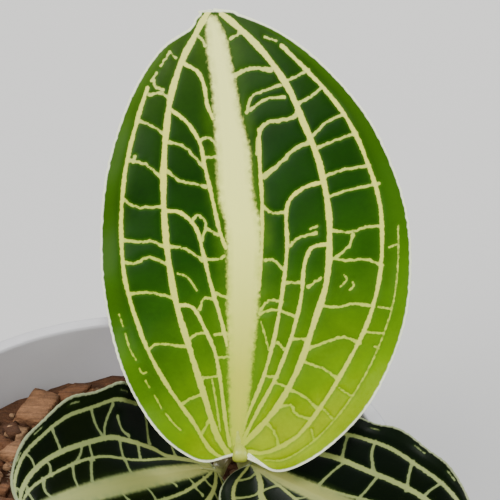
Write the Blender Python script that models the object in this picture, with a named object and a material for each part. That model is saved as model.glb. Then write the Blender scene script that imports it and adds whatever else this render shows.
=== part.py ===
"""A jewel orchid in its pot: four net-veined leaves on a creeping stem, bark potting mix, plain pot.

Metres, +Z up. The origin is the centre of the pot's underside. +Y points to the back of the pot.
"""

import math
import random

import bmesh
import bpy
import numpy as np

# Driving dimensions of the pot
pot_height = 0.076
pot_top_radius = 0.045
pot_base_radius = 0.031
pot_wall = 0.0016
pot_floor = 0.0024
rim_depth = 0.007
rim_step = 0.0016
rim_round = 0.0008
lip_round = 0.0006
foot_round = 0.0012
drain_hole_radius = 0.004
drain_hole_ring = 0.019
drain_hole_count = 5

# Driving dimensions of the potting mix
mix_level = 0.066
mix_gap = 0.0003
chip_count = 38
chip_sizes = (0.006, 0.013)
chip_lift = (-0.0002, 0.0010)
chip_spacing = 0.62
chip_clearance = 0.55
mix_swell = 0.0004

# Driving dimensions of the stem and its roots
stem_radius = 0.0018
node_swell = 0.0004
stem_joints = 9
jointed_share = 0.40
root_radius = 0.00085
root_depth = 0.0090
sheath_gap = 0.0006
sheath_wall = 0.0006
sheath_cap = 0.0011
bore_overrun = 0.002

# Driving proportions of a leaf's stalk
stalk_height_share = 0.72
stalk_channel = 0.35
stalk_in_blade = 0.0040
stalk_end_run = 0.22
stalk_end_width = 0.30

# Driving dimensions of the leaf blades
blade_thickness = 0.0007
keel_height = 0.0008
net_depth = 0.0003
vein_fractions = (0.11, 0.24, 0.51, 0.84, 1.0)
column_fractions = (0.0, 0.11, 0.175, 0.24, 0.375, 0.51, 0.675, 0.84, 0.92, 1.0)
cross_ribs = 8
blade_run = (0.03, 0.95)

# The stem's route, from its old end on the mix to its tip, where the newest leaf goes on
stem_route = np.array([
    (-0.0190, 0.0180, 0.0686),
    (-0.0080, 0.0225, 0.0690),
    (0.0050, 0.0225, 0.0692),
    (0.0138, 0.0190, 0.0696),
    (0.0168, 0.0142, 0.0714),
    (0.0177, 0.0112, 0.0754),
    (0.0178, 0.0098, 0.0800),
])
# Root feet: where each root leaves the route, as a share of it, and where it enters the mix
root_feet = (
    (0.06, (-0.0215, 0.0120)),
    (0.22, (-0.0085, 0.0290)),
    (0.32, (0.0010, 0.0155)),
    (0.39, (0.0060, 0.0305)),
    (0.46, (0.0070, 0.0125)),
    (0.45, (0.0185, 0.0265)),
)

# Each leaf: the blade's base, its heading and slopes in degrees, its size in metres, how far its midrib
# bows and leans sideways, and the share of the stem that its sheath holds
leaves = {
    "leaf_upright": dict(
        base=(0.0180, -0.0039, 0.0851), heading=90.0, pitch=58.0, arch=6.0, roll=0.0,
        length=0.0734, right=0.0280, left=0.0229, widest_right=0.46, widest_left=0.445,
        tip_right=1.16, tip_left=1.40, foot_right=0.97, foot_left=0.97, bow=0.0054, lean=0.0041,
        drop_right=0.0042, drop_left=0.0023, fold=9.0, curl=-14.0, fold_left=9.0, curl_left=-14.0,
        wave=0.0006, waves=7.5, sheath=(0.93, 1.0), petiole_width=0.0032,
    ),
    "leaf_left": dict(
        base=(0.0138, 0.0040, 0.0754), heading=233.5, pitch=31.8, arch=9.0, roll=-1.0,
        length=0.0510, right=0.0175, left=0.0175, widest_right=0.42, widest_left=0.42,
        tip_right=1.12, tip_left=1.12, foot_right=0.90, foot_left=0.90, bow=0.0, lean=0.0,
        drop_right=0.0016, drop_left=0.0016, fold=8.0, curl=84.0, fold_left=-34.0, curl_left=-30.0,
        wave=0.0005, waves=6.5, sheath=(0.70, 0.78), petiole_width=0.0026,
    ),
    "leaf_right": dict(
        base=(0.0201, 0.0042, 0.0759), heading=-46.0, pitch=11.5, arch=-3.0, roll=-8.0,
        length=0.0490, right=0.0160, left=0.0160, widest_right=0.42, widest_left=0.42,
        tip_right=1.12, tip_left=1.12, foot_right=0.90, foot_left=0.90, bow=0.0, lean=0.0,
        drop_right=0.0016, drop_left=0.0016, fold=2.0, curl=0.0, fold_left=18.0, curl_left=0.0,
        wave=0.0005, waves=6.5, sheath=(0.815, 0.895), petiole_width=0.0026,
    ),
    "leaf_back": dict(
        base=(0.0150, 0.0215, 0.0752), heading=93.5, pitch=14.0, arch=22.0, roll=0.0,
        length=0.0600, right=0.0195, left=0.0195, widest_right=0.42, widest_left=0.42,
        tip_right=1.12, tip_left=1.12, foot_right=0.90, foot_left=0.90, bow=0.0, lean=0.0,
        drop_right=0.0018, drop_left=0.0018, fold=12.0, curl=-22.0, fold_left=12.0, curl_left=-22.0,
        wave=0.0006, waves=7.0, sheath=(0.49, 0.58), petiole_width=0.0028,
    ),
}


def clear_scene():
    for thing in list(bpy.data.objects):
        bpy.data.objects.remove(thing, do_unlink=True)


def make_material(name, colour, roughness):
    material = bpy.data.materials.new(name)
    material.use_nodes = True
    shader = material.node_tree.nodes["Principled BSDF"]
    shader.inputs["Base Color"].default_value = (*colour, 1.0)
    shader.inputs["Roughness"].default_value = roughness
    shader.inputs["Metallic"].default_value = 0.0
    return material


def add_object(name, points, faces):
    mesh = bpy.data.meshes.new(name)
    mesh.from_pydata([tuple(map(float, point)) for point in points], [], faces)
    mesh.update()
    thing = bpy.data.objects.new(name, mesh)
    bpy.context.scene.collection.objects.link(thing)
    return thing


def finish(thing, material):
    thing.data.materials.clear()
    thing.data.materials.append(material)
    thing.data.shade_smooth()
    thing.data.set_sharp_from_angle(angle=math.radians(40))


def union_of(name, first, others):
    """One body made of all the pieces. The pieces are removed once they are joined."""
    group = bpy.data.collections.new(name + "_pieces")
    bpy.context.scene.collection.children.link(group)
    for piece in others:
        bpy.context.scene.collection.objects.unlink(piece)
        group.objects.link(piece)
    joiner = first.modifiers.new("join", "BOOLEAN")
    joiner.operation = "UNION"
    joiner.operand_type = "COLLECTION"
    joiner.collection = group
    joiner.solver = "MANIFOLD"
    graph = bpy.context.evaluated_depsgraph_get()
    mesh = bpy.data.meshes.new_from_object(first.evaluated_get(graph))
    mesh.name = name
    for piece in [first, *others]:
        bpy.data.objects.remove(piece, do_unlink=True)
    bpy.data.collections.remove(group)
    joined = bpy.data.objects.new(name, mesh)
    bpy.context.scene.collection.objects.link(joined)
    keep_largest_shell(joined)
    return joined


def keep_largest_shell(thing):
    """Drops loose scraps and fills hollows that the joining sealed: every shell but the largest goes."""
    work = bmesh.new()
    work.from_mesh(thing.data)
    left = set(work.verts)
    shells = []
    while left:
        shell = [left.pop()]
        for vertex in shell:
            for edge in vertex.link_edges:
                other = edge.other_vert(vertex)
                if other in left:
                    left.remove(other)
                    shell.append(other)
        shells.append(shell)
    shells.sort(key=len)
    for shell in shells[:-1]:
        bmesh.ops.delete(work, geom=shell, context="VERTS")
    work.to_mesh(thing.data)
    work.free()


def cut_with(thing, cutters):
    """Takes the cutters' shapes out of the piece and removes them."""
    for cutter in cutters:
        cut = thing.modifiers.new("cut", "BOOLEAN")
        cut.operation = "DIFFERENCE"
        cut.object = cutter
        cut.solver = "MANIFOLD"
    graph = bpy.context.evaluated_depsgraph_get()
    mesh = bpy.data.meshes.new_from_object(thing.evaluated_get(graph))
    thing.modifiers.clear()
    thing.data = mesh
    for cutter in cutters:
        bpy.data.objects.remove(cutter, do_unlink=True)


def turned(name, profile, steps):
    """The profile of (radius, height) points, first and last on the axis, turned about Z."""
    points = [(0.0, 0.0, profile[0][1])]
    for radius, height in profile[1:-1]:
        for step in range(steps):
            angle = 2 * math.pi * step / steps
            points.append((radius * math.cos(angle), radius * math.sin(angle), height))
    points.append((0.0, 0.0, profile[-1][1]))
    rings = len(profile) - 2
    faces = []
    for step in range(steps):
        after = (step + 1) % steps
        faces.append((0, 1 + after, 1 + step))
        for ring in range(rings - 1):
            low = 1 + ring * steps
            high = low + steps
            faces.append((low + step, low + after, high + after, high + step))
        last = 1 + (rings - 1) * steps
        faces.append((last + step, last + after, len(points) - 1))
    return add_object(name, points, faces)


def smooth_route(points, samples):
    """A Catmull-Rom curve through the points, sampled evenly in its parameter."""
    points = np.asarray(points, float)
    ends = np.vstack([2 * points[0] - points[1], points, 2 * points[-1] - points[-2]])
    spans = len(points) - 1
    place = np.linspace(0, spans, samples)
    span = np.minimum(place.astype(int), spans - 1)
    t = (place - span)[:, None]
    a, b, c, d = (ends[span + k] for k in range(4))
    return 0.5 * (2 * b + (c - a) * t + (2 * a - 5 * b + 4 * c - d) * t**2
                  + (3 * b - a - 3 * c + d) * t**3)


def frames_along(route, side):
    """Unit tangent, side and normal vectors along a route, with the side kept near the one given."""
    tangent = np.gradient(route, axis=0)
    tangent /= np.linalg.norm(tangent, axis=1, keepdims=True)
    side = np.broadcast_to(np.asarray(side, float), route.shape)
    side = side - (side * tangent).sum(1, keepdims=True) * tangent
    side /= np.linalg.norm(side, axis=1, keepdims=True)
    return tangent, side, np.cross(side, tangent)


def tube_rings(route, side, widths, heights, sides, dent=0.0):
    """Rings of an oval section carried along the route. The dent draws in the top of the section."""
    tangent, side, normal = frames_along(route, side)
    angle = 2 * np.pi * np.arange(sides) / sides
    across = np.cos(angle)[None, :] * np.asarray(widths)[:, None] / 2
    drawn = 1 - dent * np.clip(np.sin(angle), 0, 1) ** 2
    up = np.sin(angle)[None, :] * drawn[None, :] * np.asarray(heights)[:, None] / 2
    return route[:, None] + across[..., None] * side[:, None] + up[..., None] * normal[:, None]


def tube_object(name, rings):
    """A closed tube from its rings, with a flat cap at each end."""
    count, sides = rings.shape[:2]
    faces = [tuple(range(sides - 1, -1, -1))]
    for row in range(count - 1):
        for step in range(sides):
            after = (step + 1) % sides
            low = row * sides
            faces.append((low + step, low + after, low + sides + after, low + sides + step))
    faces.append(tuple(range((count - 1) * sides, count * sides)))
    thing = add_object(name, rings.reshape(-1, 3), faces)
    face_outwards(thing)
    return thing


def face_outwards(thing):
    work = bmesh.new()
    work.from_mesh(thing.data)
    bmesh.ops.recalc_face_normals(work, faces=work.faces)
    work.to_mesh(thing.data)
    work.free()


def make_pot(material):
    slope = (pot_top_radius - pot_base_radius) / pot_height
    under_rim = pot_height - rim_depth
    wall_at = lambda height: pot_base_radius + slope * height
    profile = [
        (0.0, 0.0),
        (pot_base_radius - foot_round, 0.0),
        (pot_base_radius, foot_round),
        (wall_at(under_rim), under_rim),
        (wall_at(under_rim) + rim_step, under_rim + rim_round),
        (pot_top_radius + rim_step, pot_height - rim_round),
        (pot_top_radius + rim_step - rim_round, pot_height),
        (pot_top_radius - pot_wall + lip_round, pot_height),
        (pot_top_radius - pot_wall, pot_height - lip_round),
        (wall_at(pot_floor) - pot_wall, pot_floor),
        (0.0, pot_floor),
    ]
    pot = turned("pot", profile, 56)
    cutters = []
    for number in range(drain_hole_count):
        angle = 2 * math.pi * (number + 0.5) / drain_hole_count
        bpy.ops.mesh.primitive_cylinder_add(vertices=20, radius=drain_hole_radius, depth=4 * pot_floor)
        cutter = bpy.context.object
        cutter.location = (drain_hole_ring * math.cos(angle), drain_hole_ring * math.sin(angle), 0.0)
        cutters.append(cutter)
    cut_with(pot, cutters)
    finish(pot, material)
    return pot


def bark_chip(rng, centre, size):
    """A flattened angular chip: the hull of points scattered near the faces of a small box."""
    length, width, height = size, size * rng.uniform(0.5, 0.8), size * rng.uniform(0.28, 0.42)
    turn = rng.uniform(0, math.pi)
    tip = math.radians(rng.uniform(-22, 22))
    work = bmesh.new()
    for sx, sy, sz in [(a, b, c) for a in (-1, 1) for b in (-1, 1) for c in (-1, 1)]:
        x = sx * length / 2 * rng.uniform(0.6, 1.0)
        y = sy * width / 2 * rng.uniform(0.6, 1.0)
        z = sz * height / 2 * rng.uniform(0.7, 1.0)
        x, z = x * math.cos(tip) - z * math.sin(tip), x * math.sin(tip) + z * math.cos(tip)
        x, y = x * math.cos(turn) - y * math.sin(turn), x * math.sin(turn) + y * math.cos(turn)
        work.verts.new((centre[0] + x, centre[1] + y, centre[2] + z))
    bmesh.ops.convex_hull(work, input=work.verts)
    bmesh.ops.recalc_face_normals(work, faces=work.faces)
    mesh = bpy.data.meshes.new("chip")
    work.to_mesh(mesh)
    work.free()
    chip = bpy.data.objects.new("chip", mesh)
    bpy.context.scene.collection.objects.link(chip)
    return chip


def make_mix(material, stem_line, root_lines):
    """The filling of the pot, with bark chips sunk in its top and plain holes for what stands in it."""
    slope = (pot_top_radius - pot_base_radius) / pot_height
    inner_at = lambda height: pot_base_radius + slope * height - pot_wall - mix_gap
    bottom = pot_floor + mix_gap
    top_radius = inner_at(mix_level)
    profile = [
        (0.0, bottom),
        (inner_at(bottom) - mix_swell, bottom),
        (top_radius, mix_level - 1.5 * mix_swell),
        (top_radius * 0.80, mix_level + mix_swell),
        (top_radius * 0.45, mix_level - 0.5 * mix_swell),
        (0.0, mix_level),
    ]
    mix = turned("mix", profile, 32)
    rng = random.Random(7)
    chips = []
    placed = []
    tries = 0
    while len(chips) < chip_count and tries < 4000:
        tries += 1
        size = rng.uniform(*chip_sizes)
        reach = top_radius - size * chip_clearance - 2 * mix_gap
        radius = reach * math.sqrt(rng.random())
        angle = rng.uniform(0, 2 * math.pi)
        centre = np.array((radius * math.cos(angle), radius * math.sin(angle)))
        room = size * chip_clearance
        near_stem = np.linalg.norm(stem_line[:, :2] - centre, axis=1).min()
        near_root = min(np.linalg.norm(line[:, :2] - centre, axis=1).min() for line in root_lines)
        crowded = any(
            np.linalg.norm(centre - other) < chip_spacing * (size + near) / 2 for other, near in placed
        )
        if near_stem < stem_radius + room or near_root < root_radius + room or crowded:
            continue
        placed.append((centre, size))
        chips.append(bark_chip(rng, (*centre, mix_level + rng.uniform(*chip_lift)), size))
    mix = union_of("potting_mix", mix, chips)
    cutters = []
    for line in root_lines:
        deeper = np.vstack([line, line[-1] + np.array((0, 0, -2 * mix_gap))])
        width = np.full(len(deeper), 2 * (root_radius + mix_gap))
        cutters.append(tube_object("hole", tube_rings(deeper, (0.3, 1, 0.1), width, width, 8)))
    cut_with(mix, cutters)
    finish(mix, material)
    return mix


def stem_points():
    return smooth_route(stem_route, 61)


def root_lines_from(line):
    """Each root leaves the stem's underside, arches out and goes down into the mix."""
    lines = []
    for share, (x, y) in root_feet:
        start = line[int(share * (len(line) - 1))]
        foot = np.array((x, y, mix_level + 0.0002))
        out = foot - start
        out[2] = 0.0
        corner = start + 0.62 * out + np.array((0, 0, 0.0006))
        route = [start, corner, foot + np.array((0, 0, -0.0004)), foot + np.array((0, 0, -root_depth))]
        lines.append(smooth_route(route, 13))
    return lines


def make_stem(material, line, root_lines):
    """The jointed creeping stem with its roots: one grown piece."""
    share = np.linspace(0, 1, len(line))
    swell = node_swell * np.cos(2 * np.pi * share * stem_joints) ** 8
    taper = np.clip(share / 0.03, 0.45, 1) * np.clip((1.015 - share) / 0.04, 0.5, 1)
    radius = (stem_radius + swell * (share < jointed_share)) * taper
    stem = tube_object("stem", tube_rings(line, (0.2, 0.1, 1), 2 * radius, 2 * radius, 10))
    roots = []
    for route in root_lines:
        along = np.linspace(0, 1, len(route))
        width = 2 * root_radius * (1.15 - 0.15 * along)
        roots.append(tube_object("root", tube_rings(route, (0.3, 1, 0.1), width, width, 6)))
    stem = union_of("rhizome_stem", stem, roots)
    finish(stem, material)
    return stem


def blade_flat(leaf, u, v):
    """The blade laid flat: across is half the width times the sine-like run of v to a power, and the
    lines along the blade run from the straight midrib to the outline's own run."""
    right = u > 0
    pick = lambda key: np.where(right, leaf[key + "_right"], leaf[key + "_left"])
    length = leaf["length"]
    swing = np.cos(np.pi * (v - 0.5))
    power = np.where(v > 0.5, pick("tip"), pick("foot"))
    x = u * np.where(right, leaf["right"], leaf["left"]) * np.clip(swing, 0, 1) ** power
    middle = pick("widest") * length
    drop = pick("drop")
    fall = -np.cos(np.pi * v)
    edge = middle + np.where(v < 0.5, middle + drop, length - middle) * fall
    edge = edge + drop * np.exp(-((v / 0.05) ** 2))
    spine = length * (1 + fall) / 2
    share = np.abs(u) ** 1.5
    return x, spine * (1 - share) + edge * share


def net_relief(u, v):
    """Cells sink between the veins that run along the blade and the ribs that cross them."""
    cell = np.interp(np.abs(u), vein_fractions, range(len(vein_fractions)))
    shift = 0.5 * (np.floor(cell) % 2)
    return -net_depth * np.abs(np.sin(np.pi * cell) * np.sin(np.pi * (cross_ribs * v + shift)))


def blade_middle(leaf, u, v):
    """Bends the flat blade: along it by the arch, across it by the fold and curl, and waves its edge."""
    x, y = blade_flat(leaf, u, v)
    length = leaf["length"]
    pitch, arch, roll, heading = (math.radians(leaf[k]) for k in ("pitch", "arch", "roll", "heading"))
    t = y / length
    along = length * (math.sin(pitch) - np.sin(pitch - arch * t)) / arch
    rise = length * (np.cos(pitch - arch * t) - math.cos(pitch)) / arch
    ahead = np.array((math.cos(heading), math.sin(heading), 0.0))
    side = np.array((math.sin(heading), -math.cos(heading), 0.0))
    slope = pitch - arch * t
    normal = (-np.sin(slope))[..., None] * ahead + np.cos(slope)[..., None] * np.array((0, 0, 1.0))
    sway = leaf["bow"] * t * (1 - t) - leaf["lean"] * np.clip(t, 0, 1) ** 2
    tilted = side * math.cos(roll) + normal * math.sin(roll)
    facing = normal * math.cos(roll) - side * math.sin(roll)
    right = u > 0
    half = np.where(right, leaf["right"], leaf["left"])
    fold = np.radians(np.where(right, leaf["fold"], leaf["fold_left"]))
    curl = np.radians(np.where(right, leaf["curl"], leaf["curl_left"])) + 1e-4
    reach = np.abs(x) / half
    across = half * (np.sin(fold + curl * reach) - np.sin(fold)) / curl
    lift = half * (np.cos(fold) - np.cos(fold + curl * reach)) / curl
    wave = leaf["wave"] * np.abs(u) ** 4 * np.sin(2 * np.pi * leaf["waves"] * v + 1.3 * np.sign(u))
    lift = lift + wave * np.sin(np.pi * np.clip(v, 0, 1))
    place = np.array(leaf["base"]) + along[..., None] * ahead + rise[..., None] * np.array((0, 0, 1.0))
    return place + (np.sign(u) * across + sway)[..., None] * tilted + lift[..., None] * facing


def blade_faces(leaf, u, v):
    """The upper and lower skins. The midrib is a channel above and a keel below."""
    step = 1e-4
    over = blade_middle(leaf, u + step, v) - blade_middle(leaf, u - step, v)
    onward = blade_middle(leaf, u, v + step) - blade_middle(leaf, u, v - step)
    normal = np.cross(over, onward)
    normal /= np.linalg.norm(normal, axis=-1, keepdims=True)
    ridge = np.exp(-((u / 0.12) ** 2)) * (1 - 0.75 * v)
    relief = net_relief(u, v) * np.sin(np.pi * np.clip(v, 0, 1))
    centre = blade_middle(leaf, u, v) + normal * relief[..., None]
    upper = blade_thickness / 2 - 0.35 * keel_height * ridge
    lower = blade_thickness / 2 + keel_height * ridge
    return centre + normal * upper[..., None], centre - normal * lower[..., None]


def blade_object(name, leaf):
    across = [-f for f in column_fractions[:0:-1]] + list(column_fractions)
    rows = 2 * cross_ribs + 1
    v = np.linspace(*blade_run, rows)
    u, v = np.meshgrid(np.array(across), v)
    upper, lower = blade_faces(leaf, u, v)
    count = upper.shape[1]
    points = np.concatenate([upper.reshape(-1, 3), lower.reshape(-1, 3)])
    under = rows * count
    faces = []
    for row in range(rows - 1):
        for column in range(count - 1):
            a = row * count + column
            b, c, d = a + 1, a + count + 1, a + count
            faces += [(a, b, c), (a, c, d)]
            faces += [(under + a, under + c, under + b), (under + a, under + d, under + c)]
    border = [k for k in range(count - 1)]
    border += [row * count + count - 1 for row in range(rows - 1)]
    border += [(rows - 1) * count + k for k in range(count - 1, 0, -1)]
    border += [row * count for row in range(rows - 1, 0, -1)]
    for here, there in zip(border, border[1:] + border[:1]):
        faces.append((here, under + here, under + there, there))
    thing = add_object(name, points, faces)
    face_outwards(thing)
    return thing


def sheath_object(name, leaf, line):
    """A thin sleeve round the stem. The newest leaf's sleeve closes over the stem's tip."""
    low, high = (int(round(share * (len(line) - 1))) for share in leaf["sheath"])
    route = line[low:high + 1]
    if leaf["sheath"][1] == 1.0:
        route = np.vstack([route, route[-1] + sheath_cap * unit(route[-1] - route[-2])])
    inner_width = 2 * (stem_radius + sheath_gap)
    outer_width = inner_width + 2 * sheath_wall
    widths = np.full(len(route), outer_width)
    sides = 12
    sleeve = tube_object(name, tube_rings(route, (0.2, 0.1, 1), widths, widths, sides))
    bore_route = route.copy()
    bore_route[0] -= bore_overrun * unit(route[1] - route[0])
    if leaf["sheath"][1] == 1.0:
        bore_route = bore_route[:-2]
        bore_route[-1] = line[-1] + mix_gap * unit(route[-1] - route[-2])
    else:
        bore_route[-1] += bore_overrun * unit(route[-1] - route[-2])
    bore = np.full(len(bore_route), inner_width)
    cut_with(sleeve, [tube_object("bore", tube_rings(bore_route, (0.2, 0.1, 1), bore, bore, sides))])
    return sleeve


def unit(vector):
    return vector / np.linalg.norm(vector)


def petiole_object(name, leaf, line):
    """The channelled stalk from the sheath's wall to a little way inside the blade's midrib."""
    heading = math.radians(leaf["heading"])
    pitch = math.radians(leaf["pitch"])
    ahead = np.array((math.cos(heading) * math.cos(pitch), math.sin(heading) * math.cos(pitch),
                      math.sin(pitch)))
    base = np.array(leaf["base"])
    low, high = leaf["sheath"]
    place = int(round((0.5 * (low + high) if high < 1 else 1.0) * (len(line) - 1)))
    stem_point = line[place]
    if high < 1:
        tangent = unit(line[place + 1] - line[place - 1])
        out = base - stem_point
        out = unit(out - (out @ tangent) * tangent)
        leave = unit(out + 0.25 * tangent)
        start = stem_point + out * (stem_radius + sheath_gap + 1.1 * sheath_wall)
    else:
        leave = unit(line[-1] - line[-2])
        start = stem_point + leave * 0.0009
    inside = base + ahead * stalk_in_blade
    span = np.linalg.norm(base - start)
    controls = [start, start + leave * span * 0.40, base - ahead * span * 0.35, inside]
    t = np.linspace(0, 1, 11)[:, None]
    a, b, c, d = controls
    route = (1 - t) ** 3 * a + 3 * (1 - t) ** 2 * t * b + 3 * (1 - t) * t**2 * c + t**3 * d
    width = leaf["petiole_width"]
    end = np.clip((1.0 - t[:, 0]) / stalk_end_run, stalk_end_width, 1)
    side = np.array((math.sin(heading), -math.cos(heading), 0.0))
    heights = stalk_height_share * width * end
    return tube_object(name, tube_rings(route, side, width * end, heights, 10, dent=stalk_channel))


def make_leaf(name, leaf, line, material):
    blade = blade_object(name + "_blade", leaf)
    petiole = petiole_object(name + "_petiole", leaf, line)
    sheath = sheath_object(name + "_sheath", leaf, line)
    joined = union_of(name, blade, [petiole, sheath])
    finish(joined, material)
    return joined


def main():
    clear_scene()
    pot_finish = make_material("pale_plastic", (0.62, 0.62, 0.63), 0.42)
    bark_finish = make_material("bark", (0.17, 0.09, 0.05), 0.9)
    stem_finish = make_material("fleshy_stem", (0.30, 0.22, 0.10), 0.55)
    young_finish = make_material("young_leaf", (0.10, 0.28, 0.02), 0.5)
    old_finish = make_material("old_leaf", (0.02, 0.05, 0.015), 0.5)
    line = stem_points()
    roots = root_lines_from(line)
    make_pot(pot_finish)
    make_mix(bark_finish, line, roots)
    make_stem(stem_finish, line, roots)
    for name, leaf in leaves.items():
        make_leaf(name, leaf, line, young_finish if name == "leaf_upright" else old_finish)


main()
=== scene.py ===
import math
import random

import bmesh
import bpy
import numpy as np
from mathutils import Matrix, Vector


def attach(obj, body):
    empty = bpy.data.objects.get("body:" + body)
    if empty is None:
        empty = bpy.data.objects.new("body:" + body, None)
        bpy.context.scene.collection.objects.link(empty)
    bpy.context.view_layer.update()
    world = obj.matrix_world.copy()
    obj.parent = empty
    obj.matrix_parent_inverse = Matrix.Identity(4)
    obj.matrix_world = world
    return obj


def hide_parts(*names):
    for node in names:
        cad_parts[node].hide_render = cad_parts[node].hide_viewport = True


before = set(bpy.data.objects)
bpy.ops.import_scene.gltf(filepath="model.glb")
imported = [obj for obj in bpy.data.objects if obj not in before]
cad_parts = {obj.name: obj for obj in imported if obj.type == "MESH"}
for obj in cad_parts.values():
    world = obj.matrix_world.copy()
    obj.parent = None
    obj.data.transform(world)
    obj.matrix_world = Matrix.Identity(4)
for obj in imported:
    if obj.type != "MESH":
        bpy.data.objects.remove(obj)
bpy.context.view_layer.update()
print("frame loaded")

mm = 0.001
up = np.array((0.0, 0.0, 1.0))

# Where the picture was taken from. The foot is where the upright leaf's stalk meets its blade.
viewPlan = {
    "photoSide": 500,  # pixels
    "footPixel": (237.0, 458.0),
    "footPoint": (0.0180, -0.0080, 0.0880),
    "pixelsPerMm": 6.2,  # at the foot
    "elevation": 35.0,  # degrees above level
    "distance": 0.300,
    "sensorWidth": 36.0,  # mm
}


# General helpers

def tone(red, green, blue):
    # screen colour, 0 to 255, as the linear colour that a material takes
    share = np.array((red, green, blue)) / 255
    linear = np.where(share <= 0.04045, share / 12.92, ((share + 0.055) / 1.055) ** 2.4)
    return (*map(float, linear), 1.0)


def unit(vector):
    return vector / np.linalg.norm(vector, axis=-1, keepdims=True)


def bell(value, middle, width):
    # 1 at the middle, falling away smoothly on both sides
    return np.exp(-(((value - middle) / width) ** 2))


def ringAngles(count):
    # evenly spaced angles round a circle
    return 2 * np.pi * np.arange(count) / count


def smoothLine(points, perSpan):
    # Catmull-Rom curve through the points, with the same number of steps in each span
    points = np.asarray(points, float)
    ends = np.vstack([2 * points[0] - points[1], points, 2 * points[-1] - points[-2]])
    spans = len(points) - 1
    place = np.linspace(0, spans, spans * perSpan + 1)
    span = np.minimum(place.astype(int), spans - 1)
    t = (place - span)[:, None]
    a, b, c, d = (ends[span + k] for k in range(4))
    return 0.5 * (2 * b + (c - a) * t + (2 * a - 5 * b + 4 * c - d) * t**2
                  + (3 * b - a - 3 * c + d) * t**3)


def gridFaces(rows, columns, closed=False, start=0):
    # quads of a grid whose points run row by row; closed joins the last column to the first
    row, column = np.mgrid[0:rows - 1, 0:columns - (0 if closed else 1)]
    a = start + row * columns + column
    b = start + row * columns + (column + 1) % columns
    return np.stack([a, b, b + columns, a + columns], -1).reshape(-1, 4)


def ripple(points, scale, seed):
    # smooth made-up noise, about -1 to 1: six sine waves in seeded directions, added together
    draw = np.random.default_rng(seed)
    total = 0.0
    for octave in range(6):
        direction = unit(draw.normal(size=3)) * scale * (0.7 + 0.35 * octave)
        total = total + np.sin(points @ direction + draw.uniform(0, 2 * math.pi)) / (1 + 0.25 * octave)
    return total / 2.6


def sectionAxes(route, side):
    # for each point of the route, the two directions that its section lies in
    tangent = unit(np.gradient(route, axis=0))
    side = np.broadcast_to(np.asarray(side, float), route.shape)
    side = unit(side - (side * tangent).sum(1, keepdims=True) * tangent)
    return side, np.cross(side, tangent)


def tubeRings(route, side, radius, sides=40):
    side, normal = sectionAxes(route, side)
    angle = ringAngles(sides)
    ring = np.cos(angle)[None, :, None] * side[:, None] + np.sin(angle)[None, :, None] * normal[:, None]
    return route[:, None] + ring * np.asarray(radius)[:, None, None]


def tubeShell(route, side, widths, heights, sides, dent=0.0):
    # an oval section carried along the route: across = cos, up = sin, drawn in by the dent on top
    side, normal = sectionAxes(route, side)
    angle = ringAngles(sides)
    across = np.cos(angle)[None, :] * np.asarray(widths)[:, None] / 2
    drawn = 1 - dent * np.clip(np.sin(angle), 0, 1) ** 2
    rise = (np.sin(angle) * drawn)[None, :] * np.asarray(heights)[:, None] / 2
    rings = route[:, None] + across[..., None] * side[:, None] + rise[..., None] * normal[:, None]
    return capped(rings)


def capped(rings):
    # closes a stack of rings with a point at each end and turns its faces outwards
    count, sides = rings.shape[:2]
    points = np.vstack([rings.reshape(-1, 3), rings[0].mean(0), rings[-1].mean(0)])
    first, last = count * sides, count * sides + 1
    step = np.arange(sides)
    after = (step + 1) % sides
    low = np.stack([after, step, np.full(sides, first)], -1)
    end = (count - 1) * sides
    high = np.stack([end + step, end + after, np.full(sides, last)], -1)
    faces = [*gridFaces(count, sides, closed=True).tolist(), *low.tolist(), *high.tolist()]
    return outward({"points": points, "faces": faces})


def outward(shell):
    # a shell whose volume comes out negative has its faces turned round
    points = shell["points"]
    quads = np.array([face for face in shell["faces"] if len(face) == 4] or [[0, 0, 0, 0]])
    tris = np.array([face for face in shell["faces"] if len(face) == 3] or [[0, 0, 0]])
    tris = np.vstack([tris, quads[:, :3], quads[:, [0, 2, 3]]])
    a, b, c = (points[tris[:, k]] for k in range(3))
    if (np.cross(a, b) * c).sum() < 0:
        shell["faces"] = [face[::-1] for face in shell["faces"]]
    return shell


def linked(name, data):
    # a new object at the origin, in the scene
    thing = bpy.data.objects.new(name, data)
    bpy.context.scene.collection.objects.link(thing)
    return thing


def addPiece(name, shells, materials, slotName, *nodes):
    # one mesh of closed shells; a shell may name its material's number and values for its points
    points, faces, numbers, values = [], [], [], {}
    start = 0
    total = sum(len(shell["points"]) for shell in shells)
    for shell in shells:
        points.append(shell["points"])
        faces += [[start + corner for corner in face] for face in shell["faces"]]
        number = shell.get("material", 0)
        numbers += number if isinstance(number, list) else [number] * len(shell["faces"])
        for key, given in shell.get("values", {}).items():
            values.setdefault(key, np.zeros(total))[start:start + len(shell["points"])] = given
        start += len(shell["points"])
    mesh = bpy.data.meshes.new(name)
    mesh.from_pydata(np.vstack(points).tolist(), [], faces)
    for key, given in values.items():
        mesh.attributes.new(key, "FLOAT", "POINT").data.foreach_set("value", given)
    for material in materials:
        mesh.materials.append(material)
    mesh.polygons.foreach_set("material_index", numbers)
    mesh.shade_smooth()
    mesh.update()
    thing = linked(name, mesh)
    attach(thing, "root")
    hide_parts(*nodes)
    print(name, len(mesh.polygons), "faces")
    return thing


# Material helpers

def feed(tree, socket, value):
    # the value is another node's socket or a constant
    if isinstance(value, bpy.types.NodeSocket):
        tree.links.new(value, socket)
    else:
        socket.default_value = value


def put(tree, kind, sockets=None, **settings):
    # a node with its settings, and each named socket linked or given its value
    made = tree.nodes.new(kind)
    for key, value in settings.items():
        setattr(made, key, value)
    for key, value in (sockets or {}).items():
        feed(tree, made.inputs[key], value)
    return made


def sums(tree, operation, first, second):
    return put(tree, "ShaderNodeMath", {0: first, 1: second}, operation=operation).outputs[0]


def plus(tree, first, second):
    return sums(tree, "ADD", first, second)


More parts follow.
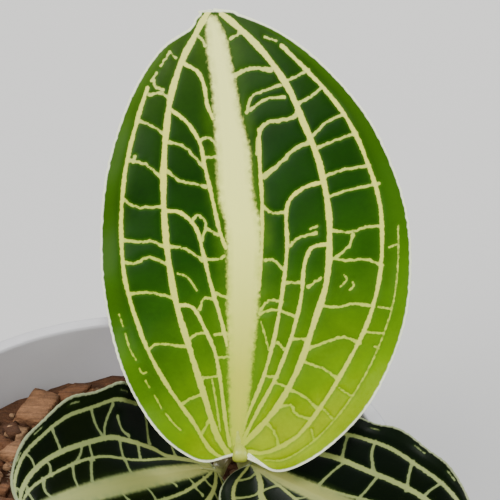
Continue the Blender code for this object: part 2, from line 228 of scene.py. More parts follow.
def times(tree, first, second):
    return sums(tree, "MULTIPLY", first, second)


def mixed(tree, factor, first, second):
    # sockets 6 and 7 are the node's two colours, and output 2 is its colour
    return put(tree, "ShaderNodeMix", {"Factor": factor, 6: first, 7: second}, data_type="RGBA").outputs[2]


def ramp(tree, factor, stops):
    made = put(tree, "ShaderNodeValToRGB", {"Fac": factor})
    band = made.color_ramp
    band.elements[0].position, band.elements[1].position = stops[0][0], stops[-1][0]
    band.elements[0].color, band.elements[1].color = stops[0][1], stops[-1][1]
    for place, colour in stops[1:-1]:
        band.elements.new(place).color = colour
    return made.outputs["Color"]


def spread(tree, value, low, high, toLow=0.0, toHigh=1.0, smooth=False):
    # the value's run from low to high, carried over to the run from toLow to toHigh
    made = put(tree, "ShaderNodeMapRange", {"Value": value, "From Min": low, "From Max": high,
                                            "To Min": toLow, "To Max": toHigh})
    made.interpolation_type = "SMOOTHSTEP" if smooth else "LINEAR"
    return made.outputs["Result"]


def noise(tree, vector, scale, detail=2.0, rough=0.5):
    return put(tree, "ShaderNodeTexNoise", {"Vector": vector, "Scale": scale, "Detail": detail,
                                            "Roughness": rough}).outputs["Fac"]


def pointValue(tree, name):
    return put(tree, "ShaderNodeAttribute", attribute_name=name).outputs["Fac"]


def placeOf(tree):
    return put(tree, "ShaderNodeTexCoord").outputs["Object"]


def newGroup(name, inputs, outputs):
    # inputs and outputs: (name, kind, value) and (name, kind)
    tree = bpy.data.node_groups.new(name, "ShaderNodeTree")
    for label, kind, value in inputs:
        socket = tree.interface.new_socket(label, in_out="INPUT", socket_type=kind)
        if value is not None:
            socket.default_value = value
    for label, kind in outputs:
        tree.interface.new_socket(label, in_out="OUTPUT", socket_type=kind)
    return tree, put(tree, "NodeGroupInput").outputs, put(tree, "NodeGroupOutput").inputs


def grouped(tree, group, sockets):
    made = put(tree, "ShaderNodeGroup", node_tree=group)
    for key, value in sockets.items():
        feed(tree, made.inputs[key], value)
    return made.outputs


def newFinish(name, **constant):
    # a material with only its shader; the constant sockets are set on the shader itself
    material = bpy.data.materials.new(name)
    material.use_nodes = True
    tree = material.node_tree
    shader = tree.nodes["Principled BSDF"]
    for label, value in constant.items():
        shader.inputs[label.replace("_", " ")].default_value = value
    return material, tree, shader


def raised(tree, shader, height, strength, distance):
    bump = put(tree, "ShaderNodeBump", {"Height": height, "Strength": strength, "Distance": distance})
    tree.links.new(bump.outputs["Normal"], shader.inputs["Normal"])


def makeVeinEdge():
    # 1 inside a vein, 0 outside: the gap to its edge in mm, frayed by noise, then a soft step
    tree, given, result = newGroup("veinEdge", [
        ("Vector", "NodeSocketVector", None), ("Gap", "NodeSocketFloat", 0.0),
        ("Fray", "NodeSocketFloat", 0.1), ("Soft", "NodeSocketFloat", 0.06)], [("Inside", "NodeSocketFloat")])
    frayed = sums(tree, "SUBTRACT", noise(tree, given["Vector"], 1500.0, 3.0, 0.6), 0.5)
    gap = plus(tree, given["Gap"], times(tree, frayed, given["Fray"]))
    inside = spread(tree, gap, times(tree, given["Soft"], -1.0), given["Soft"], 1.0, 0.0, smooth=True)
    tree.links.new(inside, result["Inside"])
    return tree


def makeMottle():
    # blotches of two sizes, as a factor about 1 that a colour is multiplied by
    tree, given, result = newGroup("mottle", [
        ("Vector", "NodeSocketVector", None), ("Scale", "NodeSocketFloat", 100.0),
        ("Amount", "NodeSocketFloat", 0.2)], [("Factor", "NodeSocketFloat"), ("Blotch", "NodeSocketFloat")])
    wide = noise(tree, given["Vector"], given["Scale"], 3.0, 0.55)
    fine = noise(tree, given["Vector"], times(tree, given["Scale"], 5.5), 2.0, 0.5)
    both = plus(tree, times(tree, wide, 0.65), times(tree, fine, 0.35))
    swing = times(tree, sums(tree, "SUBTRACT", both, 0.5), times(tree, given["Amount"], 4.0))
    tree.links.new(plus(tree, swing, 1.0), result["Factor"])
    tree.links.new(both, result["Blotch"])
    return tree


veinEdge = makeVeinEdge()
mottle = makeMottle()


def timesFactor(tree, colour, factor):
    # a colour made lighter or darker by a factor about 1
    colour = colour if isinstance(colour, bpy.types.NodeSocket) else colour[:3]
    made = put(tree, "ShaderNodeVectorMath", {0: colour, "Scale": factor}, operation="SCALE")
    return made.outputs["Vector"]


def mottled(tree, colour, place, scale, amount):
    patch = grouped(tree, mottle, {"Vector": place, "Scale": scale, "Amount": amount})
    return timesFactor(tree, colour, patch["Factor"])


def veinInside(tree, place, gap, fray, soft):
    sockets = {"Vector": place, "Gap": gap, "Fray": fray, "Soft": soft}
    return grouped(tree, veinEdge, sockets)["Inside"]


# Leaf blades: the solids' formulas and sizes. The blades here also have teeth, stop a little short of the
# solids' tips, and on the upright leaf have a lip, a notch and a rounder tip that the solids lack.

olderLeaf = dict(
    widestRight=0.42, widestLeft=0.42, tipRight=1.12, tipLeft=1.12, footRight=0.90, footLeft=0.90,
    bow=0.0, lean=0.0, dropRight=0.0016, dropLeft=0.0016, wave=0.0005, waves=6.5, stalkWidth=0.0026,
    lip=0.0, notch=0.0, tipRound=0.0, joint=False, sag=0.0013,
)
leafShapes = {
    "leaf_upright": dict(
        base=(0.0180, -0.0039, 0.0851), heading=90.0, pitch=58.0, arch=6.0, roll=0.0,
        length=0.0734, right=0.0280, left=0.0229, widestRight=0.46, widestLeft=0.445,
        tipRight=1.16, tipLeft=1.40, footRight=0.97, footLeft=0.97, bow=0.0054, lean=0.0041,
        dropRight=0.0042, dropLeft=0.0023, foldRight=9.0, curlRight=-14.0, foldLeft=9.0, curlLeft=-14.0,
        wave=0.0006, waves=7.5, sheath=(0.93, 1.0), stalkWidth=0.0032,
        lip=0.0010, notch=0.0016, tipRound=0.0015, joint=True, sag=0.0,
    ),
    "leaf_left": dict(
        olderLeaf, base=(0.0138, 0.0040, 0.0754), heading=233.5, pitch=31.8, arch=9.0, roll=-1.0,
        length=0.0510, right=0.0175, left=0.0175, foldRight=8.0, curlRight=84.0, foldLeft=-34.0,
        curlLeft=-30.0, sheath=(0.70, 0.78),
    ),
    "leaf_right": dict(
        olderLeaf, base=(0.0201, 0.0042, 0.0759), heading=-46.0, pitch=11.5, arch=-3.0, roll=-8.0,
        length=0.0490, right=0.0160, left=0.0160, foldRight=2.0, curlRight=0.0, foldLeft=18.0,
        curlLeft=0.0, sheath=(0.815, 0.895),
    ),
    "leaf_back": dict(
        olderLeaf, base=(0.0150, 0.0215, 0.0752), heading=93.5, pitch=14.0, arch=22.0, roll=0.0,
        length=0.0600, right=0.0195, left=0.0195, dropRight=0.0018, dropLeft=0.0018, foldRight=12.0,
        curlRight=-22.0, foldLeft=12.0, curlLeft=-22.0, wave=0.0006, waves=7.0, sheath=(0.49, 0.58),
        stalkWidth=0.0028, sag=0.0,
    ),
}
bladeSkin = {
    "thickness": 0.00060,
    "rimThickness": 0.00030,
    "keel": 0.0008,
    "puff": 0.00016,  # how far a cell stands above its veins
    "puffReach": 0.55,  # mm from the vein
    "teeth": 0.00003,  # fine unevenness of the rim
    "endGap": 0.004,  # share of the run left off at each pointed end
    "short": 0.0062,  # share by which the skins stop short of the solid's tip
    "evenRows": 0.75,  # share of the rows' spacing that goes by even steps of length
    "keelReach": 0.12,  # how wide the midrib's keel is, as a share of the half width
}
# where along the blade each of these is largest, and over what share of it
bladeMarks = {
    "tipRound": (0.967, 0.018),
    "notch": (0.875, 0.035),
    "lip": (0.03, 0.022),
    "drop": (0.0, 0.05),
}
toothWaves = ((71, 0, 1.0, 0.0), (43, 2, 1.0, 0.0), (97, 0, 0.7, 1.0))  # count, phase, size, shift by u


def bladeFlat(leaf, u, v):
    # The blade laid flat. Across: u times the half width times sin(pi v) to a power. Along: lines of
    # equal v run from the straight midrib at u = 0 to the outline's own run at u = 1.
    right = u > 0
    pick = lambda key: np.where(right, leaf[key + "Right"], leaf[key + "Left"])
    length = leaf["length"] * (1 - bladeSkin["short"])
    power = np.where(v > 0.5, pick("tip"), pick("foot"))
    x = u * np.where(right, leaf["right"], leaf["left"]) * np.clip(np.sin(np.pi * v), 0, 1) ** power
    teeth = sum(size * np.sin(2 * np.pi * count * v + phase + shift * u)
                for count, phase, size, shift in toothWaves)
    x = x + np.sign(u) * bladeSkin["teeth"] * np.abs(u) ** 14 * teeth * np.sin(np.pi * v)
    x = x + u * leaf["tipRound"] * bell(v, *bladeMarks["tipRound"])
    x = x + np.where(right, 0, np.abs(u)) * leaf["notch"] * bell(v, *bladeMarks["notch"])
    middle = pick("widest") * length
    drop = pick("drop")
    fall = -np.cos(np.pi * v)
    edge = middle + np.where(v < 0.5, middle + drop, length - middle) * fall
    edge = edge + drop * bell(v, *bladeMarks["drop"])
    spine = length * (1 + fall) / 2
    share = np.abs(u) ** 1.5
    return x, spine * (1 - share) + edge * share


def bladeSeen(leaf, u, v):
    # the same point as it is seen square on: the half blades are bent up by the fold and the curl, the
    # midrib bows and leans sideways, and the right lobe's edge rolls forward by the lip
    x, y = bladeFlat(leaf, u, v)
    right = u > 0
    half = np.where(right, leaf["right"], leaf["left"])
    fold = np.radians(np.where(right, leaf["foldRight"], leaf["foldLeft"]))
    curl = np.radians(np.where(right, leaf["curlRight"], leaf["curlLeft"])) + 1e-4  # never quite 0
    reach = np.abs(x) / half
    across = half * (np.sin(fold + curl * reach) - np.sin(fold)) / curl
    lift = half * (np.cos(fold) - np.cos(fold + curl * reach)) / curl
    t = y / leaf["length"]
    sway = leaf["bow"] * t * (1 - t) - leaf["lean"] * np.clip(t, 0, 1) ** 2
    lip = leaf["lip"] * np.clip(u, 0, 1) ** 1.2 * bell(v, *bladeMarks["lip"])
    return np.sign(u) * across + sway - 0.6 * lip, y + 0.9 * lip, lift + 1.1 * lip


def bladeMiddle(leaf, u, v):
    # the seen point carried into space along an arched midrib, with the edge waved
    across, y, lift = bladeSeen(leaf, u, v)
    length = leaf["length"]
    pitch, arch, roll, heading = (math.radians(leaf[k]) for k in ("pitch", "arch", "roll", "heading"))
    t = y / length
    along = length * (math.sin(pitch) - np.sin(pitch - arch * t)) / arch
    rise = length * (np.cos(pitch - arch * t) - math.cos(pitch)) / arch
    ahead = np.array((math.cos(heading), math.sin(heading), 0.0))
    side = np.array((math.sin(heading), -math.cos(heading), 0.0))
    slope = pitch - arch * t
    normal = (-np.sin(slope))[..., None] * ahead + np.cos(slope)[..., None] * up
    tilted = side * math.cos(roll) + normal * math.sin(roll)
    facing = normal * math.cos(roll) - side * math.sin(roll)
    wave = leaf["wave"] * np.abs(u) ** 4 * np.sin(2 * np.pi * leaf["waves"] * v + 1.3 * np.sign(u))
    lift = lift + wave * np.sin(np.pi * np.clip(v, 0, 1))
    place = np.array(leaf["base"]) + along[..., None] * ahead + rise[..., None] * up
    return place + across[..., None] * tilted + lift[..., None] * facing


def bladeNormal(leaf, u, v):
    # from central differences along both parameters
    step = 1e-4
    over = bladeMiddle(leaf, u + step, v) - bladeMiddle(leaf, u - step, v)
    onward = bladeMiddle(leaf, u, v + step) - bladeMiddle(leaf, u, v - step)
    return unit(np.cross(over, onward))


def veinGap(places, veins):
    # how far each place is from the nearest vein's edge, in mm, less than 0 inside it. A vein is a line
    # of points with its width there, and only places near it are measured.
    reach = 3.0
    nearest = np.full(len(places), reach)
    for line, width in veins:
        low, high = line.min(0) - reach, line.max(0) + reach
        near = np.flatnonzero(((places > low) & (places < high)).all(1))
        start, step = line[:-1], line[1:] - line[:-1]
        away = places[near, None] - start
        share = np.clip((away * step).sum(-1) / np.maximum((step**2).sum(-1), 1e-9), 0, 1)
        gap = np.linalg.norm(away - share[..., None] * step, axis=-1)
        gap -= (width[:-1] + share * (width[1:] - width[:-1])) / 2
        nearest[near] = np.minimum(nearest[near], gap.min(1))
    return nearest


def rowRun(rows):
    # rows along the blade: mostly even steps of length, with some even steps of v for the round ends
    t = np.linspace(0, 1, rows)
    even = np.arccos(1 - 2 * t) / np.pi
    gap, share = bladeSkin["endGap"], bladeSkin["evenRows"]
    return gap + (1 - 2 * gap) * (share * even + (1 - share) * t)


def gridBorder(rows, columns, start):
    # the grid's outermost points in order: along the first row, up, back along the last row, down
    wide = columns + 1
    first = [start + k for k in range(columns)]
    side = [start + row * wide + columns for row in range(rows)]
    back = [start + rows * wide + k for k in range(columns, 0, -1)]
    return first + side + back + [start + row * wide for row in range(rows, 0, -1)]


def bladeShell(leaf, columns, rows, measure):
    # the upper skin has twice the rows and columns of the lower one, and five-sided faces join them
    def skin(columns, rows, above):
        u, v = np.meshgrid(np.linspace(-1, 1, columns), rowRun(rows))
        u = u + 1e-7  # the midrib's points count as the right half
        values = measure(u, v)
        across = np.abs(u)
        thickness = bladeSkin["thickness"] * (1 - across**3) + bladeSkin["rimThickness"] * across**3
        ridge = bell(u, 0.0, bladeSkin["keelReach"]) * (1 - 0.75 * v)
        inside = np.clip(np.minimum(values["veinGap"], values["bandGap"]), 0, None)
        puff = bladeSkin["puff"] * (1 - np.exp(-inside / bladeSkin["puffReach"]))
        puff = puff * np.clip((1 - across) * 8, 0, 1)
        if above:
            height = thickness / 2 - 0.35 * bladeSkin["keel"] * ridge + puff
        else:
            height = -thickness / 2 - bladeSkin["keel"] * ridge + 0.5 * puff
        points = bladeMiddle(leaf, u, v) + bladeNormal(leaf, u, v) * height[..., None]
        return points.reshape(-1, 3), {key: value.reshape(-1) for key, value in values.items()}

    topPoints, topValues = skin(2 * columns + 1, 2 * rows + 1, True)
    lowPoints, lowValues = skin(columns + 1, rows + 1, False)
    start = len(topPoints)
    top = gridFaces(2 * rows + 1, 2 * columns + 1).tolist()
    low = gridFaces(rows + 1, columns + 1, start=start)[:, ::-1].tolist()
    outer = gridBorder(2 * rows, 2 * columns, 0)
    inner = gridBorder(rows, columns, start)
    border = []
    for k, (here, there) in enumerate(zip(inner, inner[1:] + inner[:1])):
        a, b, c = outer[2 * k], outer[2 * k + 1], outer[(2 * k + 2) % len(outer)]
        border.append([there, c, b, a, here])
    numbers = [0] * len(top) + [1] * len(low) + [0] * len(border)
    values = {key: np.concatenate([topValues[key], lowValues[key]]) for key in topValues}
    points = np.vstack([topPoints, lowPoints])
    return {"points": points, "faces": top + low + border, "material": numbers, "values": values}


# Stalks, sheaths and the stem

stemShape = {
    "route": [(-0.0190, 0.0180, 0.0686), (-0.0080, 0.0225, 0.0690), (0.0050, 0.0225, 0.0692),
              (0.0138, 0.0190, 0.0696), (0.0168, 0.0142, 0.0714), (0.0177, 0.0112, 0.0754),
              (0.0178, 0.0098, 0.0800)],
    "perSpan": 40,
    "radius": 0.0018,
    "nodeSwell": 0.0004,
    "nodes": 9,
    "rootRadius": 0.00085,
    "side": (0.2, 0.1, 1),  # which way the stem's and the sheaths' sections are turned
    "sheathGap": 0.0006,
    "sheathWall": 0.0006,
    "domeHeight": 0.0011,  # how far the newest sheath closes above the stem's tip
    "flare": 0.10,  # how much wider a sheath's upper end is
    "jointedShare": 0.40,  # share of the stem whose joints swell
    "scarredShare": 0.66,  # share of the stem that has rings
    "scarDepth": 0.00012,
    "rootLift": 0.0006,  # how far a root arches before it goes down
    "rootDepth": 0.0090,
    # where each root leaves the route, as a share of it, and where it goes into the mix
    "rootFeet": [(0.06, (-0.0215, 0.0120)), (0.22, (-0.0085, 0.0290)), (0.32, (0.0010, 0.0155)),
                 (0.39, (0.0060, 0.0305)), (0.46, (0.0070, 0.0125)), (0.45, (0.0185, 0.0265))],
}
stemLine = smoothLine(stemShape["route"], stemShape["perSpan"])


def onStem(share):
    return stemLine[int(round(share * (len(stemLine) - 1)))]


# the joint's places: out of the blade's face, along the blade, aside to the right, and its width there
jointPlaces = [
    (-0.0014, -0.0003, 0.0003, 0.0020), (-0.0006, -0.0006, 0.0004, 0.0024),
    (0.0003, -0.0004, 0.0005, 0.0026), (0.0006, 0.0003, 0.0005, 0.0025),
    (0.0002, 0.0012, 0.0003, 0.0019), (-0.0005, 0.0021, 0.0001, 0.0010)]
stalkShape = {
    "start": 0.0005,  # how far beyond the end of the stem's line the newest stalk begins
    "lean": 0.25,  # how much a stalk leaves its sheath along the stem
    "pulls": (0.40, 0.35),  # the curve's handles, as shares of the span
    "inside": 0.0040,  # how far it runs on inside the midrib
    "endRun": 0.22,  # share of its run that thins out
    "footSwell": (0.22, 0.12),  # amount, and over what share
    "bladeSwell": (0.50, 0.74, 0.18),  # amount, where, and over what share
    "depth": 0.72,  # of the width
    "channel": 0.45,
    "steps": 60,
    "sides": 40,
}


def leafAxes(leaf):
    # along the leaf as it leaves its base, and level to its right
    heading, pitch = math.radians(leaf["heading"]), math.radians(leaf["pitch"])
    ahead = (math.cos(heading) * math.cos(pitch), math.sin(heading) * math.cos(pitch), math.sin(pitch))
    return np.array(ahead), np.array((math.sin(heading), -math.cos(heading), 0.0))


def asStalk(shell, along):
    # marks the shell as stalk: the leaf's third material, and how far each point is from sheath to blade
    shell["values"] = {"along": along}
    shell["material"] = 2
    return shell


def stalkShell(leaf):
    # the channelled stalk: a Bezier curve from the sheath's wall to a little way inside the midrib
    ahead, side = leafAxes(leaf)
    base = np.array(leaf["base"])
    low, high = leaf["sheath"]
    if high < 1:
        middle = 0.5 * (low + high)
        tangent = unit(onStem(middle + 0.02) - onStem(middle - 0.02))
        out = base - onStem(middle)
        out = unit(out - (out @ tangent) * tangent)
        leave = unit(out + stalkShape["lean"] * tangent)
        reach = stemShape["radius"] + stemShape["sheathGap"] + 0.5 * stemShape["sheathWall"]
        start = onStem(middle) + out * reach
    else:
        leave = unit(stemLine[-1] - stemLine[-5])
        start = stemLine[-1] + leave * stalkShape["start"]
    span = np.linalg.norm(base - start)
    leavePull, arrivePull = stalkShape["pulls"]
    a, b = start, start + leave * span * leavePull - up * leaf["sag"] * 2
    c, d = base - ahead * span * arrivePull - up * leaf["sag"], base + ahead * stalkShape["inside"]
    t = np.linspace(0, 1, stalkShape["steps"])[:, None]
    route = (1 - t) ** 3 * a + 3 * (1 - t) ** 2 * t * b + 3 * (1 - t) * t**2 * c + t**3 * d
    share = t[:, 0]
    (foot, footRun), (blade, bladePlace, bladeRun) = stalkShape["footSwell"], stalkShape["bladeSwell"]
    width = leaf["stalkWidth"] * np.clip((1.0 - share) / stalkShape["endRun"], 0.12, 1) ** 0.8
    width = width * (1 + foot * bell(share, 0.0, footRun) + blade * bell(share, bladePlace, bladeRun))
    sides = stalkShape["sides"]
    shell = tubeShell(route, side, width, stalkShape["depth"] * width, sides, dent=stalkShape["channel"])
    return asStalk(shell, np.append(np.repeat(share, sides), (0.0, 1.0)))


def jointShell(leaf):
    # the swollen joint where the stalk comes out under the blade's foot and turns up into the midrib
    ahead, side = leafAxes(leaf)
    facing = np.cross(side, ahead)
    places = smoothLine(jointPlaces, 8)
    base = np.array(leaf["base"])
    route = base + places[:, :1] * facing + places[:, 1:2] * ahead + places[:, 2:3] * side
    width = places[:, 3]
    shell = tubeShell(route, side, width, 0.8 * width, 32, dent=0.25)
    return asStalk(shell, np.ones(len(shell["points"])))


def sheathShell(leaf):
    # a thin sleeve round the stem: an outer and an inner wall, joined at both ends; the newest leaf's
    # sleeve closes over the stem's tip
    low, high = (int(round(share * (len(stemLine) - 1))) for share in leaf["sheath"])
    route = stemLine[low:high + 1]
    inner = stemShape["radius"] + stemShape["sheathGap"]
    outer = inner + stemShape["sheathWall"]
    side = stemShape["side"]
    if leaf["sheath"][1] == 1.0:
        route = np.vstack([route, route[-1] + stemShape["domeHeight"] * unit(route[-1] - route[-2])])
        dome = np.clip((len(route) - 1 - np.arange(len(route))) / 5.0, 0.02, 1) ** 0.5
        radius = outer * dome
        shell = tubeShell(route, side, 2 * radius, 2 * radius, 40)
    else:
        flare = 1 + stemShape["flare"] * np.linspace(0, 1, len(route)) ** 3
        outside = tubeRings(route, side, outer * flare)
        walls = np.concatenate([outside, tubeRings(route[::-1], side, (inner * flare)[::-1])])
        count, sides = walls.shape[:2]
        faces = gridFaces(count, sides, closed=True).tolist()
        last = (count - 1) * sides
        faces += [[last + k, last + (k + 1) % sides, (k + 1) % sides, k] for k in range(sides)]
        shell = outward({"points": walls.reshape(-1, 3), "faces": faces})
    return asStalk(shell, np.zeros(len(shell["points"])))


def rootLines():
    # each root leaves the stem's underside, arches out and goes down into the mix
    lines = []
    for share, (x, y) in stemShape["rootFeet"]:
        start = onStem(share)
        foot = np.array((x, y, mixShape["level"] + 0.0002))
        out = foot - start
        out[2] = 0.0
        corner = start + 0.62 * out + np.array((0, 0, stemShape["rootLift"]))
        deep = foot + np.array((0, 0, -stemShape["rootDepth"]))
        lines.append(smoothLine([start, corner, foot + np.array((0, 0, -0.0004)), deep], 24))
    return lines


# Bark mix and pot

mixShape = {
    "level": 0.066,
    "gap": 0.0003,
    "chipCount": 38,
    "chipSizes": (0.006, 0.013),
    "crumbs": 640,
    "crumbSizes": (0.0010, 0.0066),
    "crumbBias": 2.4,  # above 1, small crumbs outnumber large ones
    "crumbTurn": 2.4,  # radians from one crumb to the next
    "roughness": (0.00022, 0.00012),  # a chip's coarse and fine unevenness
    "crumble": (0.0005, 0.0004),  # the filling's coarse and fine unevenness
    "steps": 150,
}
potShape = {
    "height": 0.076,
    "topRadius": 0.045,
    "baseRadius": 0.031,
    "wall": 0.0016,
    "floor": 0.0024,
    "rimDepth": 0.007,
    "rimStep": 0.0016,
    "holeRadius": 0.004,
    "holeRing": 0.019,
    "holes": 5,
    "plug": 0.006,  # half the height of a drain hole's core
    "rounds": (0.0012, 0.0005, 0.0007, 0.0006, 0.0008),  # foot, under the rim, rim outside and inside, floor
    "steps": 160,
    "weld": 0.00001,  # points nearer than this are joined after the holes are cut
    "sharpAngle": 50,
}


# The upright leaf's net, read from the photo. Each family has its width in photo pixels, and each
# vein the few places that a smooth line goes through.
uprightNet = {
    "pixelsPerMm": 6.10,
    "footPixel": (237.2, 454.7),
    "bandTop": 71.9,  # mm above the foot
    "band": [  # across the picture at this height: left and right edge of the midrib's pale band
        (14, 209, 215), (24, 206, 220), (40, 206, 227), (60, 208, 231), (90, 212, 237), (120, 214, 242),
        (150, 216, 250), (180, 217, 252), (205, 220, 255), (230, 226, 261), (300, 227, 259), (350, 228, 254),
        (400, 229, 249), (430, 230, 245), (456, 233, 241)],
    "families": {
        "major": (5.8, [
            [(208, 12), (197, 32), (182, 62), (172, 94), (167, 128), (164, 172), (165, 220), (170, 267),
             (178, 308), (190, 348), (205, 397), (217, 435), (230, 456)],
            [(222, 14), (240, 29), (264, 54), (287, 87), (303, 123), (318, 161), (327, 204), (329, 237),
             (326, 281), (314, 321), (299, 365), (279, 403), (259, 428), (240, 447)]]),
        "outer": (3.9, [
            [(148, 89), (139, 117), (131, 148), (125, 180), (122, 221), (124, 265), (131, 300), (148, 348),
             (170, 388), (192, 419), (209, 447), (224, 459)],
            [(282, 47), (304, 69), (328, 95), (350, 126), (365, 159), (378, 200), (381, 240), (378, 280),
             (366, 323), (345, 365), (324, 400), (298, 434), (268, 451), (247, 451)]]),
        "tipDashes": (2.2, [
            [(170, 53), (161, 67)], [(157, 74), (152, 82)], [(265, 38), (276, 42)], [(170, 53), (176, 59)]]),
        "marginal": (1.5, [
            [(120, 314), (124, 326)], [(126, 333), (131, 349), (137, 359)],
            [(140, 367), (143, 372), (147, 371)], [(146, 379), (150, 386)], [(155, 394), (162, 407)],
            [(166, 412), (173, 421), (181, 429)],
            [(397, 225), (397, 263), (393, 297), (384, 329), (366, 371), (339, 412), (313, 440),
             (285, 458), (265, 459)]]),
        "inner": (3.6, [
            [(183, 64), (197, 72), (204, 86), (207, 105), (213, 119)],
            [(259, 130), (260, 165), (262, 200), (262, 240), (259, 290)],
            [(172, 111), (188, 124), (200, 144), (205, 168), (212, 197), (219, 229), (226, 248)],
            [(167, 211), (181, 213), (196, 228), (203, 252), (211, 285), (221, 319), (227, 345)],
            [(180, 304), (193, 307), (203, 324), (215, 352), (221, 386), (226, 425), (230, 445)],
            [(321, 183), (306, 187), (291, 198), (286, 214), (287, 245), (283, 287), (275, 334),
             (263, 378), (246, 419), (240, 440)],
            [(326, 244), (311, 248), (304, 265), (301, 296), (292, 334), (276, 376), (257, 412),
             (243, 440)]]),
        "links": (3.0, [
            [(197, 36), (202, 40), (205, 46)],
            [(170, 143), (184, 147), (195, 158), (204, 168)], [(200, 141), (208, 138), (217, 145)],
            [(204, 158), (216, 157)], [(168, 172), (180, 181), (194, 184), (206, 187)],
            [(202, 240), (206, 224), (198, 215), (193, 220)], [(206, 228), (218, 235)],
            [(170, 246), (186, 249), (203, 260)], [(203, 259), (218, 259), (224, 256)],
            [(216, 293), (227, 297)], [(213, 298), (204, 298), (200, 308)],
            [(189, 339), (197, 333), (206, 332)], [(215, 334), (226, 333)], [(217, 357), (229, 356)],
            [(203, 377), (212, 376), (220, 375)],
            [(231, 39), (241, 33)], [(280, 86), (266, 91), (252, 97), (247, 113)],
            [(284, 98), (266, 100), (251, 110)],
            [(264, 207), (273, 213), (286, 212)], [(266, 260), (274, 260), (283, 269)],
            [(261, 309), (269, 300), (282, 301)], [(260, 313), (275, 309), (296, 316)],
            [(290, 246), (298, 238), (315, 233)], [(287, 282), (300, 282)],
            [(308, 286), (320, 278)], [(278, 342), (284, 348)], [(265, 375), (277, 376)],
            [(292, 338), (307, 338)], [(275, 381), (287, 386)]]),
        "strongLinks": (4.6, [
            [(235, 76), (244, 71), (256, 69), (271, 71)],
            [(300, 114), (287, 120), (266, 124), (259, 137), (258, 154)],
            [(311, 142), (294, 150), (283, 161), (264, 177)]]),
        "crossLeft": (3.1, [
            [(154, 82), (156, 88), (163, 91)], [(150, 96), (160, 94), (169, 98)],
            [(139, 121), (155, 128), (167, 137)], [(130, 161), (146, 165), (162, 178)],
            [(134, 162), (136, 157)],
            [(124, 199), (137, 207), (163, 207)], [(124, 240), (142, 242), (152, 241), (168, 248)],
            [(125, 262), (136, 263), (150, 257), (168, 264)], [(130, 293), (152, 292), (176, 298)],
            [(149, 349), (159, 343), (189, 346)], [(182, 403), (192, 397), (203, 393)],
            [(202, 432), (209, 420)]]),
        "crossRight": (3.1, [
            [(286, 82), (297, 77), (308, 71)], [(299, 104), (310, 98), (322, 88)],
            [(312, 137), (325, 124), (343, 115)], [(318, 148), (335, 141), (355, 134)],
            [(322, 178), (340, 171), (368, 166)], [(326, 198), (346, 191), (378, 184)],
            [(328, 230), (349, 232), (365, 227), (381, 226)], [(352, 235), (348, 246), (334, 258)],
            [(327, 257), (345, 260), (365, 259), (381, 265)],
            [(318, 305), (338, 306), (352, 303), (371, 305)],
            [(309, 347), (328, 340), (343, 336), (359, 342)],
            [(300, 359), (313, 364), (324, 368), (338, 378)],
            [(289, 388), (305, 396), (318, 408)], [(278, 406), (291, 404), (296, 413), (311, 418)],
            [(267, 422), (275, 432), (279, 446)]]),
        "strays": (1.8, [
            [(178, 273), (188, 277), (197, 290)], [(343, 274), (346, 279), (340, 286)],
            [(352, 281), (353, 285), (349, 289)], [(377, 306), (389, 308)], [(365, 331), (382, 332)],
            [(338, 386), (351, 395)], [(322, 406), (333, 418)], [(311, 428), (314, 440)],
            [(373, 345), (378, 347)], [(310, 229), (317, 226)], [(261, 321), (266, 338), (269, 349)],
            [(388, 247), (395, 244)], [(212, 378), (217, 408), (220, 430)]]),
    },
}


def pointValues(leaf, u, places, nets, bandGap, rims):
    # for each point its gaps in mm to the veins, to the midrib's band and to the rim, and its place
    main, link, stray = (veinGap(places, lines) for lines in nets)
    found = {
        "veinGap": np.minimum(np.minimum(main, link), stray),
        "mainGap": main,
        "bandGap": np.clip(bandGap, -3, 3),
        "rimGap": veinGap(places, rims),
        "along": places[:, 1] / (leaf["length"] / mm),
        "across": u.ravel(),
    }
    return {key: value.reshape(u.shape) for key, value in found.items()}


def measureUpright(leaf):
    # values for the upright leaf's points, from its net as it is seen square on
    scale, foot = uprightNet["pixelsPerMm"], np.array(uprightNet["footPixel"])
    toBlade = lambda points: (np.asarray(points, float) - foot) * (1, -1) / scale
    sorts = {"main": [], "link": [], "stray": []}
    sortOf = {"major": "main", "outer": "main", "inner": "main", "marginal": "stray", "strays": "stray"}
    draw = np.random.default_rng(5)
    for family, (width, lines) in uprightNet["families"].items():
        sort = sortOf.get(family, "link")
        for line in lines:
            smooth = toBlade(smoothLine(line, 5))
            t = np.linspace(0, 1, len(smooth))
            uneven = 1 + 0.14 * np.sin(2 * np.pi * (t * len(line) * 0.8 + draw.random()))
            if sort == "link":
                uneven = uneven * (0.74 + 0.55 * (2 * t - 1) ** 4)  # cross veins flare where they join
                wobble = 0.10 * np.sin(2 * np.pi * (t[:, None] * len(line) * (1.1, 1.6) + draw.random(2)))
                smooth = smooth + wobble * np.sin(np.pi * t)[:, None]
            sorts[sort].append((smooth, width / scale * uneven))
    band = smoothLine(uprightNet["band"], 6)
    bandLeft, bandY = toBlade(band[:, [1, 0]])[::-1].T
    bandRight = toBlade(band[:, [2, 0]])[::-1, 0]
    run = np.linspace(0.0, 1.0, 400)
    rims = []
    for side in (-1.0, 1.0):
        x, y, _ = bladeSeen(leaf, np.full_like(run, side), run)
        rims.append((np.stack([x, y], -1) / mm, np.zeros(len(run))))

    def measure(u, v):
        x, y, _ = bladeSeen(leaf, u, v)
        places = np.stack([x.ravel(), y.ravel()], -1) / mm
        left = np.interp(places[:, 1], bandY, bandLeft)
        right = np.interp(places[:, 1], bandY, bandRight)
        bandGap = np.maximum(left - places[:, 0], places[:, 0] - right)
        bandGap = np.maximum(bandGap, places[:, 1] - uprightNet["bandTop"])
        return pointValues(leaf, u, places, sorts.values(), bandGap, rims)

    return measure


